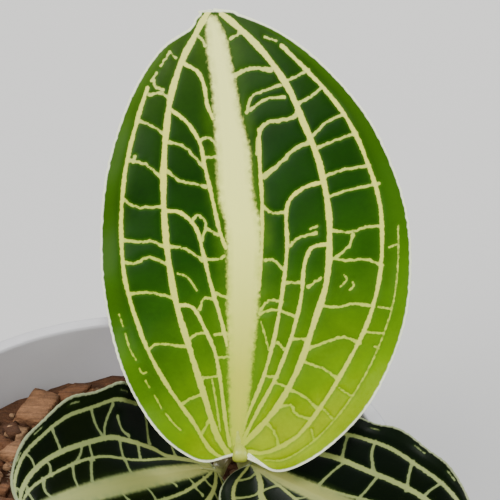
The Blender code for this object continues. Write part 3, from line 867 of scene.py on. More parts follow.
# The older leaves' net. A run is a few places (v, u) that a vein along the blade goes through, with u from
# the midrib to the rim of its half. A crossing is the (u, v) places of a cross vein. Where the photo shows
# a half, its veins are read from there, and a seeded draw fills the rest.
plainRuns = {
    "inner": [(0.05, 0.05), (0.16, 0.16), (0.32, 0.23), (0.60, 0.26), (0.97, 0.30)],
    "major": [(0.04, 0.10), (0.12, 0.30), (0.26, 0.46), (0.50, 0.52), (0.97, 0.56)],
    "outer": [(0.04, 0.34), (0.10, 0.62), (0.22, 0.79), (0.45, 0.84), (0.97, 0.85)],
}
olderNet = {
    "band": 0.11,  # half the midrib band, as a share of the half width
    "widths": {"inner": 0.55, "major": 0.95, "outer": 0.70, "cross": 0.64, "marginal": 0.20},
    "drawn": {"band": 8, "inner": 7, "major": 8},  # cross veins outwards from each run
    "leaf_left": {
        "right": {
            "runs": {
                "inner": [(0.05, 0.06), (0.28, 0.21), (0.42, 0.24), (0.54, 0.34), (0.75, 0.38), (0.97, 0.42)],
                "major": [(0.05, 0.10), (0.28, 0.25), (0.34, 0.37), (0.43, 0.46), (0.53, 0.51), (0.97, 0.58)],
                "outer": [(0.04, 0.36), (0.14, 0.72), (0.36, 0.85), (0.55, 0.83), (0.97, 0.85)]},
            "crossings": [
                [(0.85, 0.356), (0.66, 0.340), (0.43, 0.345)], [(0.80, 0.475), (0.63, 0.495), (0.50, 0.50)],
                [(0.81, 0.541), (0.66, 0.525), (0.50, 0.50)], [(0.69, 0.451), (0.57, 0.436), (0.51, 0.415)],
                [(0.46, 0.450), (0.26, 0.459)], [(0.40, 0.390), (0.24, 0.405)],
                [(0.51, 0.549), (0.34, 0.552)], [(0.26, 0.456), (0.11, 0.465)],
                [(0.34, 0.558), (0.11, 0.595)], [(0.83, 0.235), (0.24, 0.262)]],
            "readRun": (0.20, 0.60)},
        "left": {"runs": {}, "crossings": [], "readRun": (0.0, 0.0)}},
    "leaf_right": {
        "left": {
            "runs": {
                "inner": [(0.05, 0.04), (0.40, 0.10), (0.50, 0.14), (0.62, 0.20), (0.97, 0.28)],
                "major": [(0.05, 0.12), (0.16, 0.34), (0.34, 0.46), (0.55, 0.46), (0.97, 0.50)],
                "outer": [(0.04, 0.34), (0.16, 0.68), (0.39, 0.77), (0.60, 0.76), (0.97, 0.80)]},
            "crossings": [
                [(0.76, 0.395), (0.64, 0.398), (0.46, 0.409)], [(0.78, 0.475), (0.64, 0.480), (0.46, 0.506)],
                [(0.76, 0.585), (0.60, 0.592), (0.45, 0.604)], [(0.46, 0.418), (0.26, 0.395), (0.11, 0.383)],
                [(0.75, 0.300), (0.60, 0.318), (0.45, 0.318)], [(0.45, 0.520), (0.28, 0.510), (0.13, 0.500)],
                [(0.42, 0.270), (0.24, 0.268), (0.08, 0.262)]],
            "readRun": (0.24, 0.63)},
        "right": {
            "runs": {
                "inner": [(0.04, 0.03), (0.30, 0.14), (0.45, 0.22), (0.97, 0.26)],
                "major": [(0.09, 0.02), (0.15, 0.12), (0.23, 0.27), (0.30, 0.43), (0.48, 0.50), (0.97, 0.54)],
                "outer": [
                    (0.05, 0.14), (0.09, 0.29), (0.15, 0.62), (0.23, 0.75), (0.40, 0.82), (0.97, 0.84)]},
            "crossings": [
                [(0.60, 0.145), (0.36, 0.170), (0.16, 0.165)], [(0.74, 0.225), (0.50, 0.262), (0.36, 0.262)]],
            "readRun": (0.0, 0.28)}},
}


def measureOlder(name, seed):
    # values for an older leaf's points, from its net on the flat blade
    leaf, draw, widths = leafShapes[name], random.Random(seed), olderNet["widths"]
    read = olderNet.get(name, {})
    mains, links, strays = [], [], []
    flat = lambda u, v: np.stack(bladeFlat(leaf, u, v), -1) / mm
    for side, word in ((1, "right"), (-1, "left")):
        half = read.get(word, {"runs": {}, "crossings": [], "readRun": (0.0, 0.0)})
        runs = {}
        for kind, plain in plainRuns.items():
            line = smoothLine(half["runs"].get(kind, plain), 14)
            wander = 0.008 * np.sin(2 * np.pi * (draw.uniform(2.5, 4.0) * line[:, 0] + draw.random()))
            runs[kind] = (line[:, 0], line[:, 1] + wander)
            width = widths[kind] * np.interp(line[:, 0], (0.05, 0.3, 0.8, 0.97), (0.8, 1.0, 0.85, 0.45))
            mains.append((flat(side * runs[kind][1], line[:, 0]), width))
        for crossing in half["crossings"]:
            line = smoothLine(crossing, 6)
            width = widths["cross"] * (0.8 + 0.5 * np.linspace(-1, 1, len(line)) ** 4)
            links.append((flat(side * line[:, 0], line[:, 1]), width))
        runs["band"] = (np.array((0.0, 1.0)), np.full(2, 0.6 * olderNet["band"]))
        low, high = half["readRun"]
        for kind, outer in (("band", "inner"), ("inner", "major"), ("major", "outer")):
            count = olderNet["drawn"][kind]
            for number in range(count):
                middle = 0.13 + 0.76 * (number + 0.5 + draw.uniform(-0.25, 0.25)) / count
                slant = draw.uniform(0.005, 0.035) * (1 if kind == "major" else -1)
                reach = 1.0 if draw.random() < 0.88 else draw.uniform(0.4, 0.6)
                bow = draw.uniform(-0.014, 0.014)
                if low < middle < high:
                    continue
                t = np.linspace(0, reach, 9)
                v = middle + slant * t + bow * np.sin(np.pi * t)
                inner = np.interp(v, *runs[kind])
                u = inner + (np.interp(v, *runs[outer]) - inner) * t
                flare = 0.75 + 0.55 * np.linspace(-1, 1, 9) ** 4
                links.append((flat(side * u, v), widths["cross"] * draw.uniform(0.8, 1.1) * flare))
        for number in range(5):
            v = 0.34 + 0.11 * number + draw.uniform(-0.03, 0.03) + np.linspace(0, 0.03, 5)
            strays.append((flat(side * np.full(5, 0.93), v), np.full(5, widths["marginal"])))
    run = np.linspace(0.0, 1.0, 400)
    rims = [(flat(np.full_like(run, side), run), np.zeros(len(run))) for side in (-1.0, 1.0)]

    def measure(u, v):
        places = flat(u.ravel(), v.ravel())
        half = np.where(u.ravel() > 0, leaf["right"], leaf["left"]) / mm
        power = np.where(v.ravel() > 0.5, leaf["tipRight"], leaf["footRight"])
        bandGap = (np.abs(u.ravel()) - olderNet["band"]) * half * np.sin(np.pi * v.ravel()) ** power
        return pointValues(leaf, u, places, (mains, links, strays), bandGap, rims)

    return measure


# Leaf finishes

leafTones = {
    "young": {
        # panel: lighter towards the foot as painted light shining through the blade, and paler again at the
        # tip as painted light where it bends back
        "panel": [(0.0, (142, 164, 0)), (0.12, (102, 140, 0)), (0.26, (68, 108, 0)), (0.38, (34, 76, 0)),
                  (0.50, (18, 58, 0)), (0.66, (12, 48, 0)), (0.80, (26, 58, 4)), (1.0, (50, 76, 22))],
        "vein": [(0.0, (176, 190, 52)), (0.3, (212, 216, 90)), (0.7, (226, 226, 94)), (1.0, (234, 234, 128))],
        "link": [(0.0, (160, 182, 40)), (0.3, (186, 204, 66)), (0.7, (196, 206, 96)), (1.0, (206, 212, 120))],
        "band": [(0.0, (178, 188, 48)), (0.18, (196, 200, 66)), (0.5, (248, 252, 132)),
                 (1.0, (252, 254, 160))],
        # rim: the leaf's own pale margin, its whiteness partly painted back light
        "rim": (242, 246, 212), "rimWidth": 0.36, "halo": (66, 112, 10), "haloAmount": 0.34,
        # glow: painted light shining through the blade beside the midrib's band
        "edge": (96, 146, 6), "edgeAmount": 0.22, "paintedGlow": (84, 126, 10), "paintedGlowReach": 3.2,
        "paintedGlowAmount": 0.42, "bandFray": 1.3, "sideShift": -0.11,
    },
    "old": {
        # panel: slightly lighter towards the foot, painted light shining through the blade
        "panel": [(0.0, (10, 22, 3)), (0.3, (2, 10, 1)), (1.0, (1, 8, 1))],
        "vein": [(0.0, (140, 146, 78)), (0.5, (132, 144, 86)), (1.0, (150, 160, 104))],
        "link": [(0.0, (118, 128, 72)), (0.5, (118, 130, 82)), (1.0, (132, 144, 96))],
        "band": [(0.0, (150, 150, 82)), (0.5, (140, 144, 84)), (1.0, (156, 162, 106))],
        # rim: the leaf's own pale margin, its paleness partly painted back light
        "rim": (140, 148, 112), "rimWidth": 0.30, "halo": (26, 46, 10), "haloAmount": 0.30,
        # glow: painted highlight, a lighter wedge beside the midrib's band towards the foot
        "edge": (16, 30, 6), "edgeAmount": 0.2, "paintedGlow": (40, 56, 18), "paintedGlowReach": 1.2,
        "paintedGlowAmount": 0.3, "bandFray": 0.5, "sideShift": 0.0,
    },
}


# how ragged and how soft each edge is, in mm
edgeLooks = {"vein": (0.42, 0.10), "mainVein": (0.2, 0.2), "rim": (0.25, 0.12), "under": (0.3, 0.25)}
bandSoft = 0.42  # mm, how soft the edge of the midrib's band is
bandEdge = 1.3  # mm inside its edge over which the band streaks
haloReach = 0.55  # mm from a vein


def leafFinish(name, tones):
    # upper skin: dark panels with painted light shining through at the foot and beside the band, pale frayed
    # veins, a paler band, a white rim whose whiteness is partly painted back light, and fine velvety grain
    material, tree, shader = newFinish(name, Specular_IOR_Level=0.06)
    place = placeOf(tree)
    along, across, gap, bandGap = (pointValue(tree, key) for key in ("along", "across", "veinGap", "bandGap"))
    toned = lambda key, value: ramp(tree, value, [(stop, tone(*shade)) for stop, shade in tones[key]])

    # panels, from the foot's tone to the tip's: the lighter foot is painted light shining through the blade,
    # and the young leaf's paler tip is painted light where it bends back
    soften = times(tree, sums(tree, "SUBTRACT", noise(tree, place, 90.0), 0.5), 0.16)
    shifted = plus(tree, plus(tree, along, soften), times(tree, across, tones["sideShift"]))
    panel = mottled(tree, toned("panel", shifted), place, 260.0, 0.16)
    outside = spread(tree, times(tree, across, across), 0.55, 0.92, 0.0, tones["edgeAmount"], smooth=True)
    panel = mixed(tree, outside, panel, tone(*tones["edge"]))
    uneven = spread(tree, noise(tree, place, 320.0, 3.0), 0.3, 0.7, 0.5, 1.4)
    # painted glow beside the band, fading towards the tip: light shining through the blade, painted into the
    # panels
    paintedGlow = spread(tree, bandGap, 0.0, tones["paintedGlowReach"], tones["paintedGlowAmount"], 0.0, smooth=True)
    paintedGlow = times(tree, paintedGlow, times(tree, uneven, spread(tree, along, 0.55, 0.85, 1.0, 0.3)))
    panel = mixed(tree, paintedGlow, panel, tone(*tones["paintedGlow"]))
    near = times(tree, spread(tree, gap, 0.0, haloReach, 1.0, 0.0, smooth=True), tones["haloAmount"])
    panel = mixed(tree, near, panel, tone(*tones["halo"]))

    # veins and the midrib's band, which streaks into the veins' tone at its edge
    vein, link, band = (toned(key, along) for key in ("vein", "link", "band"))
    inBand = veinInside(tree, place, bandGap, tones["bandFray"], bandSoft)
    streaks = spread(tree, noise(tree, place, 700.0, 3.0), 0.35, 0.65, 0.1, 1.0)
    band = mixed(tree, times(tree, spread(tree, bandGap, -bandEdge, 0.0), streaks), band, link)
    inVein = sums(tree, "MAXIMUM", veinInside(tree, place, gap, *edgeLooks["vein"]), inBand)
    strong = veinInside(tree, place, pointValue(tree, "mainGap"), *edgeLooks["mainVein"])
    colour = mixed(tree, inVein, panel, mixed(tree, inBand, mixed(tree, strong, link, vein), band))

    # the rim: the leaf's own pale margin, its whiteness partly painted back light
    rimGap = sums(tree, "SUBTRACT", pointValue(tree, "rimGap"), tones["rimWidth"])
    inRim = veinInside(tree, place, rimGap, *edgeLooks["rim"])
    feed(tree, shader.inputs["Base Color"], mixed(tree, inRim, colour, tone(*tones["rim"])))
    feed(tree, shader.inputs["Roughness"], spread(tree, inVein, 0.0, 1.0, 0.42, 0.50))
    grain = times(tree, noise(tree, place, 5200.0, 1.0), 0.35)
    raised(tree, shader, plus(tree, grain, times(tree, inVein, -0.5)), 0.35, 0.00008)
    return material


def underFinish(name, panel, vein):
    # lower skin: dull and paler, with the veins only faintly paler
    material, tree, shader = newFinish(name, Roughness=0.55, Specular_IOR_Level=0.35)
    place = placeOf(tree)
    gap = sums(tree, "MINIMUM", pointValue(tree, "veinGap"), pointValue(tree, "bandGap"))
    inVein = veinInside(tree, place, gap, *edgeLooks["under"])
    colour = mixed(tree, times(tree, inVein, 0.75), tone(*panel), tone(*vein))
    feed(tree, shader.inputs["Base Color"], mottled(tree, colour, place, 200.0, 0.2))
    raised(tree, shader, plus(tree, inVein, noise(tree, place, 3000.0)), 0.3, 0.0001)
    return material


def stalkFinish(name, low, high):
    # fleshy stalk: one tone at the sheath, another at the blade, with fine lines of speckle
    material, tree, shader = newFinish(name, Roughness=0.42, Specular_IOR_Level=0.5, Coat_Weight=0.12)
    place = placeOf(tree)
    stops = [(0.0, tone(*low)), (0.45, tone(*high)), (1.0, tone(*high))]
    colour = ramp(tree, pointValue(tree, "along"), stops)
    feed(tree, shader.inputs["Base Color"], mottled(tree, colour, place, 420.0, 0.18))
    raised(tree, shader, noise(tree, place, 2400.0, 3.0), 0.25, 0.0001)
    return material


youngFinish = leafFinish("youngLeafUpper", leafTones["young"])
oldFinish = leafFinish("olderLeafUpper", leafTones["old"])
youngUnder = underFinish("youngLeafUnder", (104, 130, 62), (168, 182, 118))
oldUnder = underFinish("olderLeafUnder", (88, 66, 62), (140, 112, 92))
youngStalk = stalkFinish("youngStalk", (150, 140, 96), (174, 184, 64))
oldStalk = stalkFinish("olderStalk", (122, 108, 68), (146, 150, 84))
print("leaf finishes made")


def makeLeaf(piece, node, columns, rows, measure, finishes, slotName):
    leaf = leafShapes[node]
    shells = [bladeShell(leaf, columns, rows, measure), stalkShell(leaf), sheathShell(leaf)]
    if leaf["joint"]:
        shells.append(jointShell(leaf))
    return addPiece(piece, shells, finishes, slotName, node)


olderFinishes = [oldFinish, oldUnder, oldStalk]
upright = measureUpright(leafShapes["leaf_upright"])
youngFinishes = [youngFinish, youngUnder, youngStalk]
makeLeaf("uprightLeaf", "leaf_upright", 112, 160, upright, youngFinishes, "young_leaf")
makeLeaf("leftLeaf", "leaf_left", 80, 112, measureOlder("leaf_left", 11), olderFinishes, "old_leaf")
makeLeaf("rightLeaf", "leaf_right", 80, 112, measureOlder("leaf_right", 23), olderFinishes, "old_leaf")
makeLeaf("backLeaf", "leaf_back", 80, 116, measureOlder("leaf_back", 37), olderFinishes, "old_leaf")
print("leaves made")


# Stem and roots

def stemFinish():
    # fleshy jointed stem: olive with a red-brown flush, rings at the joints, slightly glossy
    material, tree, shader = newFinish("fleshyStem", Roughness=0.45, Coat_Weight=0.1)
    place = placeOf(tree)
    patch = grouped(tree, mottle, {"Vector": place, "Scale": 300.0, "Amount": 0.2})
    stops = [(0.30, tone(92, 72, 48)), (0.5, tone(116, 104, 58)), (0.7, tone(128, 92, 70))]
    colour = mixed(tree, pointValue(tree, "ring"), ramp(tree, patch["Blotch"], stops), tone(74, 56, 40))
    feed(tree, shader.inputs["Base Color"], colour)
    raised(tree, shader, noise(tree, place, 1800.0, 4.0), 0.35, 0.0002)
    return material


def rootFinish():
    # fuzzy roots: pale brown, darker blotches, matt
    material, tree, shader = newFinish("fuzzyRoot", Roughness=0.85, Sheen_Weight=0.3, Sheen_Roughness=0.5)
    place = placeOf(tree)
    feed(tree, shader.inputs["Base Color"], mottled(tree, tone(158, 134, 100), place, 500.0, 0.3))
    raised(tree, shader, noise(tree, place, 3500.0, 4.0), 0.6, 0.0002)
    return material


rootHair = {"perRoot": 130, "length": (0.0005, 0.0012), "width": 0.00008}


def hairShells(line, radius, seed):
    # three-sided hairs that stand out of the root: a base triangle and a tip each
    draw = np.random.default_rng(seed)
    count = rootHair["perRoot"]
    place = draw.integers(6, int(len(line) * 0.72), count)
    tangent = unit(np.gradient(line, axis=0))[place]
    out = unit(np.cross(tangent, unit(draw.normal(size=(count, 3)))))
    length = draw.uniform(*rootHair["length"], count)[:, None]
    foot = line[place] + out * radius * 0.8
    tip = foot + out * (length + radius * 0.2) + tangent * length * draw.uniform(-0.4, 0.4, (count, 1))
    across = np.cross(out, tangent) * rootHair["width"]
    ahead = tangent * rootHair["width"]
    back = foot - 0.5 * across
    corners = np.stack([foot + across, back + 0.87 * ahead, back - 0.87 * ahead, tip], 1)
    start = 4 * np.arange(count)[:, None, None]
    faces = start + np.array([[0, 2, 1], [0, 1, 3], [1, 2, 3], [2, 0, 3]])
    return {"points": corners.reshape(-1, 3), "faces": faces.reshape(-1, 3).tolist()}


def makeStem():
    share = np.linspace(0, 1, len(stemLine))
    wave = np.cos(2 * np.pi * share * stemShape["nodes"])
    swell = stemShape["nodeSwell"] * wave**8 * (share < stemShape["jointedShare"])
    scar = np.clip(wave * 40 - 39, 0, 1) * (share < stemShape["scarredShare"])
    taper = np.clip(share / 0.02, 0.25, 1) ** 0.5 * np.clip((1.01 - share) / 0.03, 0.35, 1)
    radius = (stemShape["radius"] + swell - stemShape["scarDepth"] * scar) * taper
    sides = 36
    stem = tubeShell(stemLine, stemShape["side"], 2 * radius, 2 * radius, sides)
    stem["values"] = {"ring": np.append(np.repeat(scar, sides), (0.0, 0.0))}
    shells = [stem]
    for number, line in enumerate(rootLines()):
        along = np.linspace(0, 1, len(line))
        width = 2 * stemShape["rootRadius"] * (1.12 - 0.15 * along) * (1 + 0.05 * np.sin(31 * along + number))
        root = tubeShell(line, (0.3, 1, 0.1), width, width, 20)
        root["material"] = 1
        hairs = hairShells(line, stemShape["rootRadius"], 50 + number)
        hairs["material"] = 1
        shells += [root, hairs]
    return addPiece("rhizome", shells, [stemFinish(), rootFinish()], "stem", "rhizome_stem")


makeStem()


# Potting mix

def barkFinish():
    # bark: red-brown to grey-brown by chip, with fibres along it and a pale worn crust
    material, tree, shader = newFinish("barkChip", Roughness=0.9, Specular_IOR_Level=0.25)
    place = placeOf(tree)
    stops = [(0.0, tone(70, 46, 30)), (0.35, tone(112, 74, 48)), (0.65, tone(142, 100, 68)),
             (1.0, tone(168, 134, 100))]
    colour = mottled(tree, ramp(tree, pointValue(tree, "shade"), stops), place, 380.0, 0.45)
    stretched = put(tree, "ShaderNodeMapping", {"Vector": place, "Scale": (260.0, 1700.0, 900.0)})
    fibre = noise(tree, stretched.outputs["Vector"], 1.0, 4.0, 0.6)
    colour = mixed(tree, spread(tree, fibre, 0.35, 0.65, 0.0, 0.55), colour, tone(58, 38, 26))
    feed(tree, shader.inputs["Base Color"], colour)
    raised(tree, shader, plus(tree, fibre, noise(tree, place, 1400.0, 4.0, 0.6)), 0.8, 0.0005)
    return material


boxSigns = [(a, b, c) for a in (-1, 1) for b in (-1, 1) for c in (-1, 1)]


def wallAt(height):
    # the pot wall's outer radius
    slope = (potShape["topRadius"] - potShape["baseRadius"]) / potShape["height"]
    return potShape["baseRadius"] + slope * height


def mixReach(height):
    # the mix's radius, a gap inside the pot's wall
    return wallAt(height) - potShape["wall"] - mixShape["gap"]


def turned(a, b, angle):
    return a * math.cos(angle) - b * math.sin(angle), a * math.sin(angle) + b * math.cos(angle)


def chipPlan():
    # the same seeded draws as the solids', so the chips lie in the same places
    line, roots = smoothLine(stemShape["route"], 10), rootLines()
    draw = random.Random(7)
    plan, placed = [], []
    while len(plan) < mixShape["chipCount"]:
        size = draw.uniform(*mixShape["chipSizes"])
        reach = mixReach(mixShape["level"]) - size * 0.55 - 0.0006
        radius = reach * math.sqrt(draw.random())
        angle = draw.uniform(0, 2 * math.pi)
        centre = np.array((radius * math.cos(angle), radius * math.sin(angle)))
        nearStem = np.linalg.norm(line[:, :2] - centre, axis=1).min() < stemShape["radius"] + size * 0.55
        nearRoot = min(np.linalg.norm(root[:, :2] - centre, axis=1).min() for root in roots)
        crowded = any(np.linalg.norm(centre - other) < 0.62 * (size + near) / 2 for other, near in placed)
        if nearStem or nearRoot < stemShape["rootRadius"] + size * 0.55 or crowded:
            continue
        placed.append((centre, size))
        height = mixShape["level"] + draw.uniform(-0.0002, 0.0010)
        length, width, thick = size, size * draw.uniform(0.5, 0.8), size * draw.uniform(0.28, 0.42)
        turn, tip = draw.uniform(0, math.pi), math.radians(draw.uniform(-22, 22))
        corners = []
        for sx, sy, sz in boxSigns:
            x = sx * length / 2 * draw.uniform(0.6, 1.0)
            y = sy * width / 2 * draw.uniform(0.6, 1.0)
            z = sz * thick / 2 * draw.uniform(0.7, 1.0)
            x, z = turned(x, z, tip)
            x, y = turned(x, y, turn)
            corners.append((centre[0] + x, centre[1] + y, height + z))
        plan.append(np.array(corners))
    return plan


def chipShell(corners, seed, cuts=7):
    # a box between eight corners, each face a grid blended between four of them, rounded a little at
    # the edges and roughened along its layers
    u, v = np.meshgrid(np.linspace(-1, 1, cuts), np.linspace(-1, 1, cuts))
    flatU, flatV, one = u.ravel(), v.ravel(), np.ones(u.size)
    sides = [np.stack(s, -1) for s in (
        (flatU, flatV, one), (flatV, flatU, -one), (one, flatU, flatV),
        (-one, flatV, flatU), (flatV, one, flatU), (flatU, -one, flatV))]
    cube = np.vstack(sides)
    faces = np.vstack([gridFaces(cuts, cuts, start=k * u.size) for k in range(6)])
    _, first, index = np.unique(np.round(cube, 6), axis=0, return_index=True, return_inverse=True)
    cube, faces = cube[first], index.reshape(-1)[faces]
    rounded = cube * 0.86 + 0.14 * unit(cube) * 1.25
    weight = lambda sign: np.prod(1 + np.array(sign) * rounded, axis=1) / 8
    points = sum(weight(sign)[:, None] * corner for sign, corner in zip(boxSigns, corners))
    middle = points.mean(0)
    coarse, fine = mixShape["roughness"]
    rough = coarse * ripple(points, 1500.0, seed) + fine * ripple(points, 4200.0, seed + 1)
    points = points + unit(points - middle) * rough[:, None]
    return outward({"points": points, "faces": faces.tolist()})


def makeMix():
    bottom, level = potShape["floor"] + mixShape["gap"], mixShape["level"]
    # the filling, turned about Z: up the wall and then over the crumbly top
    wall = [(mixReach(bottom) - 0.0004, bottom), (mixReach(0.5 * level), 0.5 * level),
            (mixReach(level), level - 0.0012)]
    over = [(mixReach(level) * share, level) for share in np.linspace(0.985, 0.01, 60)]
    profile = np.array([(0.004, bottom), *wall, *over])
    steps = mixShape["steps"]
    angle = ringAngles(steps)
    radius = profile[:, 0][:, None] * np.ones(steps)
    height = profile[:, 1][:, None] * np.ones(steps)
    rings = np.stack([radius * np.cos(angle), radius * np.sin(angle), height], -1)
    flat = rings.reshape(-1, 3)
    coarse, fine = mixShape["crumble"]
    crumble = coarse * ripple(flat, 900.0, 3) + fine * ripple(flat, 2300.0, 4)
    top = np.repeat(np.arange(len(profile)) > len(wall), steps)
    flat[:, 2] += np.where(top, np.clip(crumble, -0.0009, 0.0009) - 0.0004, 0)
    filling = capped(flat.reshape(rings.shape))
    filling["values"] = {"shade": np.full(len(filling["points"]), 0.12)}
    shells = [filling]
    draw = random.Random(21)
    for number, corners in enumerate(chipPlan()):
        chip = chipShell(corners, 100 + 2 * number)
        chip["values"] = {"shade": np.full(len(chip["points"]), draw.uniform(0.25, 1.0))}
        shells.append(chip)
    reach = mixReach(level) - 0.002
    small, large = mixShape["crumbSizes"]
    for number in range(mixShape["crumbs"]):
        size = small + (large - small) * draw.random() ** mixShape["crumbBias"]
        radius, turn = (reach - 0.4 * size) * math.sqrt(draw.random()), draw.uniform(0, 2 * math.pi)
        lift = size * draw.uniform(-0.1, 0.25)
        centre = np.array((radius * math.cos(turn), radius * math.sin(turn), level + lift))
        corners = []
        for sx, sy, sz in boxSigns:
            x, y = sx * size * draw.uniform(0.3, 0.55), sy * size * draw.uniform(0.2, 0.42)
            z = sz * size * draw.uniform(0.12, 0.3)
            corners.append(centre + np.array((*turned(x, y, mixShape["crumbTurn"] * number), z)))
        crumb = chipShell(np.array(corners), 900 + number, cuts=3 if size < 0.003 else 5)
        crumb["values"] = {"shade": np.full(len(crumb["points"]), draw.uniform(0.05, 1.0))}
        shells.append(crumb)
    return addPiece("barkMix", shells, [barkFinish()], "bark", "potting_mix")


makeMix()


# Pot

def potFinish():
    # moulded pale grey plastic: faint clouding, fine grain, splashes of dried mix low on the wall
    material, tree, shader = newFinish("palePot", Specular_IOR_Level=0.5)
    place = placeOf(tree)
    colour = mottled(tree, tone(188, 187, 190), place, 45.0, 0.05)
    height = put(tree, "ShaderNodeSeparateXYZ", {0: place}).outputs["Z"]
    low = spread(tree, height, 0.0, 0.02, 1.0, 0.0, smooth=True)
    splash = spread(tree, noise(tree, place, 420.0, 5.0, 0.6), 0.52, 0.66, 0.0, 0.5)
    colour = mixed(tree, times(tree, low, splash), colour, tone(122, 108, 92))
    feed(tree, shader.inputs["Base Color"], colour)
    rough = spread(tree, noise(tree, place, 300.0, 3.0), 0.3, 0.7, 0.36, 0.5)
    feed(tree, shader.inputs["Roughness"], rough)
    raised(tree, shader, noise(tree, place, 2600.0, 2.0), 0.12, 0.0001)
    return material


def potProfile():
    # (radius, height) from the underside's middle round the foot, wall, rim and back down inside
    high, step, wall, low = (potShape[key] for key in ("height", "rimStep", "wall", "floor"))
    foot, under, rimOut, rimIn, corner = potShape["rounds"]
    edge = high - potShape["rimDepth"]
    arc = lambda x, z, r, a, b: [(x + r * math.cos(math.radians(t)), z + r * math.sin(math.radians(t)))
                                 for t in np.linspace(a, b, 7)]

    def straight(z0, z1, inset):
        r0, r1 = wallAt(z0) - inset, wallAt(z1) - inset
        return [(r0 + (r1 - r0) * t, z0 + (z1 - z0) * t) for t in np.linspace(0, 1, 12)]

    flat = [(radius, 0.0) for radius in (0.006, 0.013, 0.025)]
    profile = flat + arc(wallAt(foot) - foot, foot, foot, -90, -10)
    profile += straight(foot + 0.0006, edge - 0.0008, 0.0)
    profile += [(wallAt(edge) + 0.0003, edge - 0.0003)]
    profile += arc(wallAt(edge) + step - under, edge + under, under, -80, 0)
    profile += arc(potShape["topRadius"] + step - rimOut, high - rimOut, rimOut, 0, 90)
    profile += arc(potShape["topRadius"] - wall + rimIn, high - rimIn, rimIn, 90, 180)
    profile += straight(high - 0.004, low + 0.001, wall)
    profile += arc(wallAt(low) - wall - corner, low + corner, corner, 0, -90)
    profile += [(radius, low) for radius in (0.026, 0.013, 0.006)]
    return np.array(profile)


def makeCores():
    # the plugs that cut the drain holes, as one object
    points, faces = [], []
    angle = ringAngles(40)
    for number in range(potShape["holes"]):
        turn = 2 * math.pi * (number + 0.5) / potShape["holes"]
        ring = potShape["holeRadius"] * np.stack([np.cos(angle), np.sin(angle), 0 * angle], -1)
        ring = ring + potShape["holeRing"] * np.array((math.cos(turn), math.sin(turn), 0))
        plug = capped(np.stack([ring - up * potShape["plug"], ring + up * potShape["plug"]]))
        faces += [[corner + len(points) for corner in face] for face in plug["faces"]]
        points += plug["points"].tolist()
    mesh = bpy.data.meshes.new("drain")
    mesh.from_pydata(points, [], faces)
    return linked("drain", mesh)


def makePot():
    profile, steps = potProfile(), potShape["steps"]
    angle = ringAngles(steps)
    turn = np.stack([np.cos(angle), np.sin(angle)], -1)
    heights = np.broadcast_to(profile[:, 1:, None], (len(profile), steps, 1))
    rings = np.concatenate([profile[:, :1, None] * turn, heights], -1)
    pot = addPiece("growPot", [capped(rings)], [potFinish()], "pot_plastic", "pot")
    cores = makeCores()
    cut = pot.modifiers.new("drain", "BOOLEAN")
    cut.operation, cut.object, cut.solver = "DIFFERENCE", cores, "MANIFOLD"
    bpy.context.view_layer.update()
    graph = bpy.context.evaluated_depsgraph_get()
    pot.data, whole = bpy.data.meshes.new_from_object(pot.evaluated_get(graph)), pot.data
    pot.modifiers.clear()
    bpy.data.objects.remove(cores, do_unlink=True)
    bpy.data.meshes.remove(whole)
    pot.data.name = "growPot"
    clean = bmesh.new()
    clean.from_mesh(pot.data)
    bmesh.ops.remove_doubles(clean, verts=clean.verts[:], dist=potShape["weld"])
    bmesh.ops.dissolve_degenerate(clean, edges=clean.edges[:], dist=potShape["weld"])
    clean.to_mesh(pot.data)
    clean.free()
    pot.data.set_sharp_from_angle(angle=math.radians(potShape["sharpAngle"]))
    return pot


makePot()
print("pot made")


# Floor, light and camera

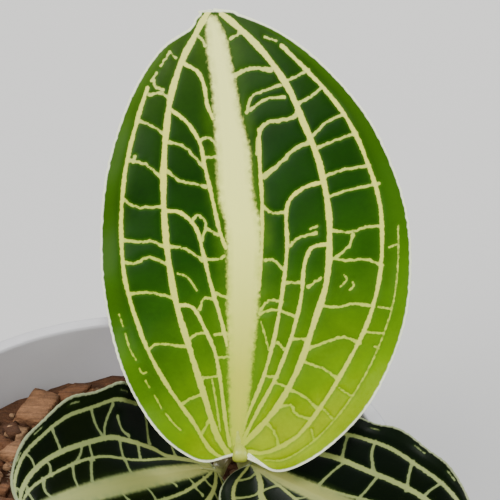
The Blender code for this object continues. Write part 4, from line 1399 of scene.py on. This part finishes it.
studio = {
    "floorSide": 2.5,
    "lightAim": (0.01, 0.0, 0.09),
    "sky": (0.92, 0.94, 1.0, 1.0),
    "skyStrength": 0.45,
    # place, size, power and colour
    "lights": {
        "keyLight": ((-0.35, -0.45, 0.75), 0.5, 9.0, (1.0, 0.98, 0.95)),
        "fillLight": ((0.6, -0.3, 0.45), 0.6, 4.0, (0.95, 0.98, 1.0)),
        "backLight": ((0.1, 0.7, 0.6), 0.5, 7.0, (1.0, 1.0, 0.97)),
    },
}


def makeFloor():
    mesh = bpy.data.meshes.new("floor")
    side = studio["floorSide"]
    corners = [(-side, -side, 0), (side, -side, 0), (side, side, 0), (-side, side, 0)]
    mesh.from_pydata(corners, [], [(0, 1, 2, 3)])
    mesh.materials.append(newFinish("paleFloor", Roughness=0.85, Base_Color=tone(205, 204, 202))[0])
    floor = linked("floor", mesh)


def addLight(name, place, size, power, colour):
    light = bpy.data.lights.new(name, "AREA")
    light.size, light.energy, light.color = size, power, colour
    lamp = linked(name, light)
    lamp.location = place
    toAim = Vector(studio["lightAim"]) - Vector(place)
    lamp.rotation_euler = toAim.to_track_quat("-Z", "Y").to_euler()


def makeWorld():
    world = bpy.data.worlds.new("studio")
    world.use_nodes = True
    background = world.node_tree.nodes["Background"]
    background.inputs["Color"].default_value = studio["sky"]
    background.inputs["Strength"].default_value = studio["skyStrength"]
    bpy.context.scene.world = world


def makeCamera():
    elevation = math.radians(viewPlan["elevation"])
    ahead = np.array((0.0, math.cos(elevation), -math.sin(elevation)))
    pictureUp = np.array((0.0, math.sin(elevation), math.cos(elevation)))
    middle = viewPlan["photoSide"] / 2
    scale = viewPlan["pixelsPerMm"] / mm
    aim = np.array(viewPlan["footPoint"]) + np.array((middle - viewPlan["footPixel"][0], 0, 0)) / scale
    aim = aim + pictureUp * (viewPlan["footPixel"][1] - middle) / scale
    lens = bpy.data.cameras.new("camera")
    lens.sensor_width = viewPlan["sensorWidth"]
    lens.lens = viewPlan["sensorWidth"] * scale * viewPlan["distance"] / viewPlan["photoSide"]
    lens.clip_start = 0.01
    camera = linked("camera", lens)
    camera.location = aim - ahead * viewPlan["distance"]
    camera.rotation_euler = (math.radians(90 - viewPlan["elevation"]), 0.0, 0.0)
    bpy.context.scene.camera = camera


makeFloor()
for name, settings in studio["lights"].items():
    addLight(name, *settings)
makeWorld()
makeCamera()
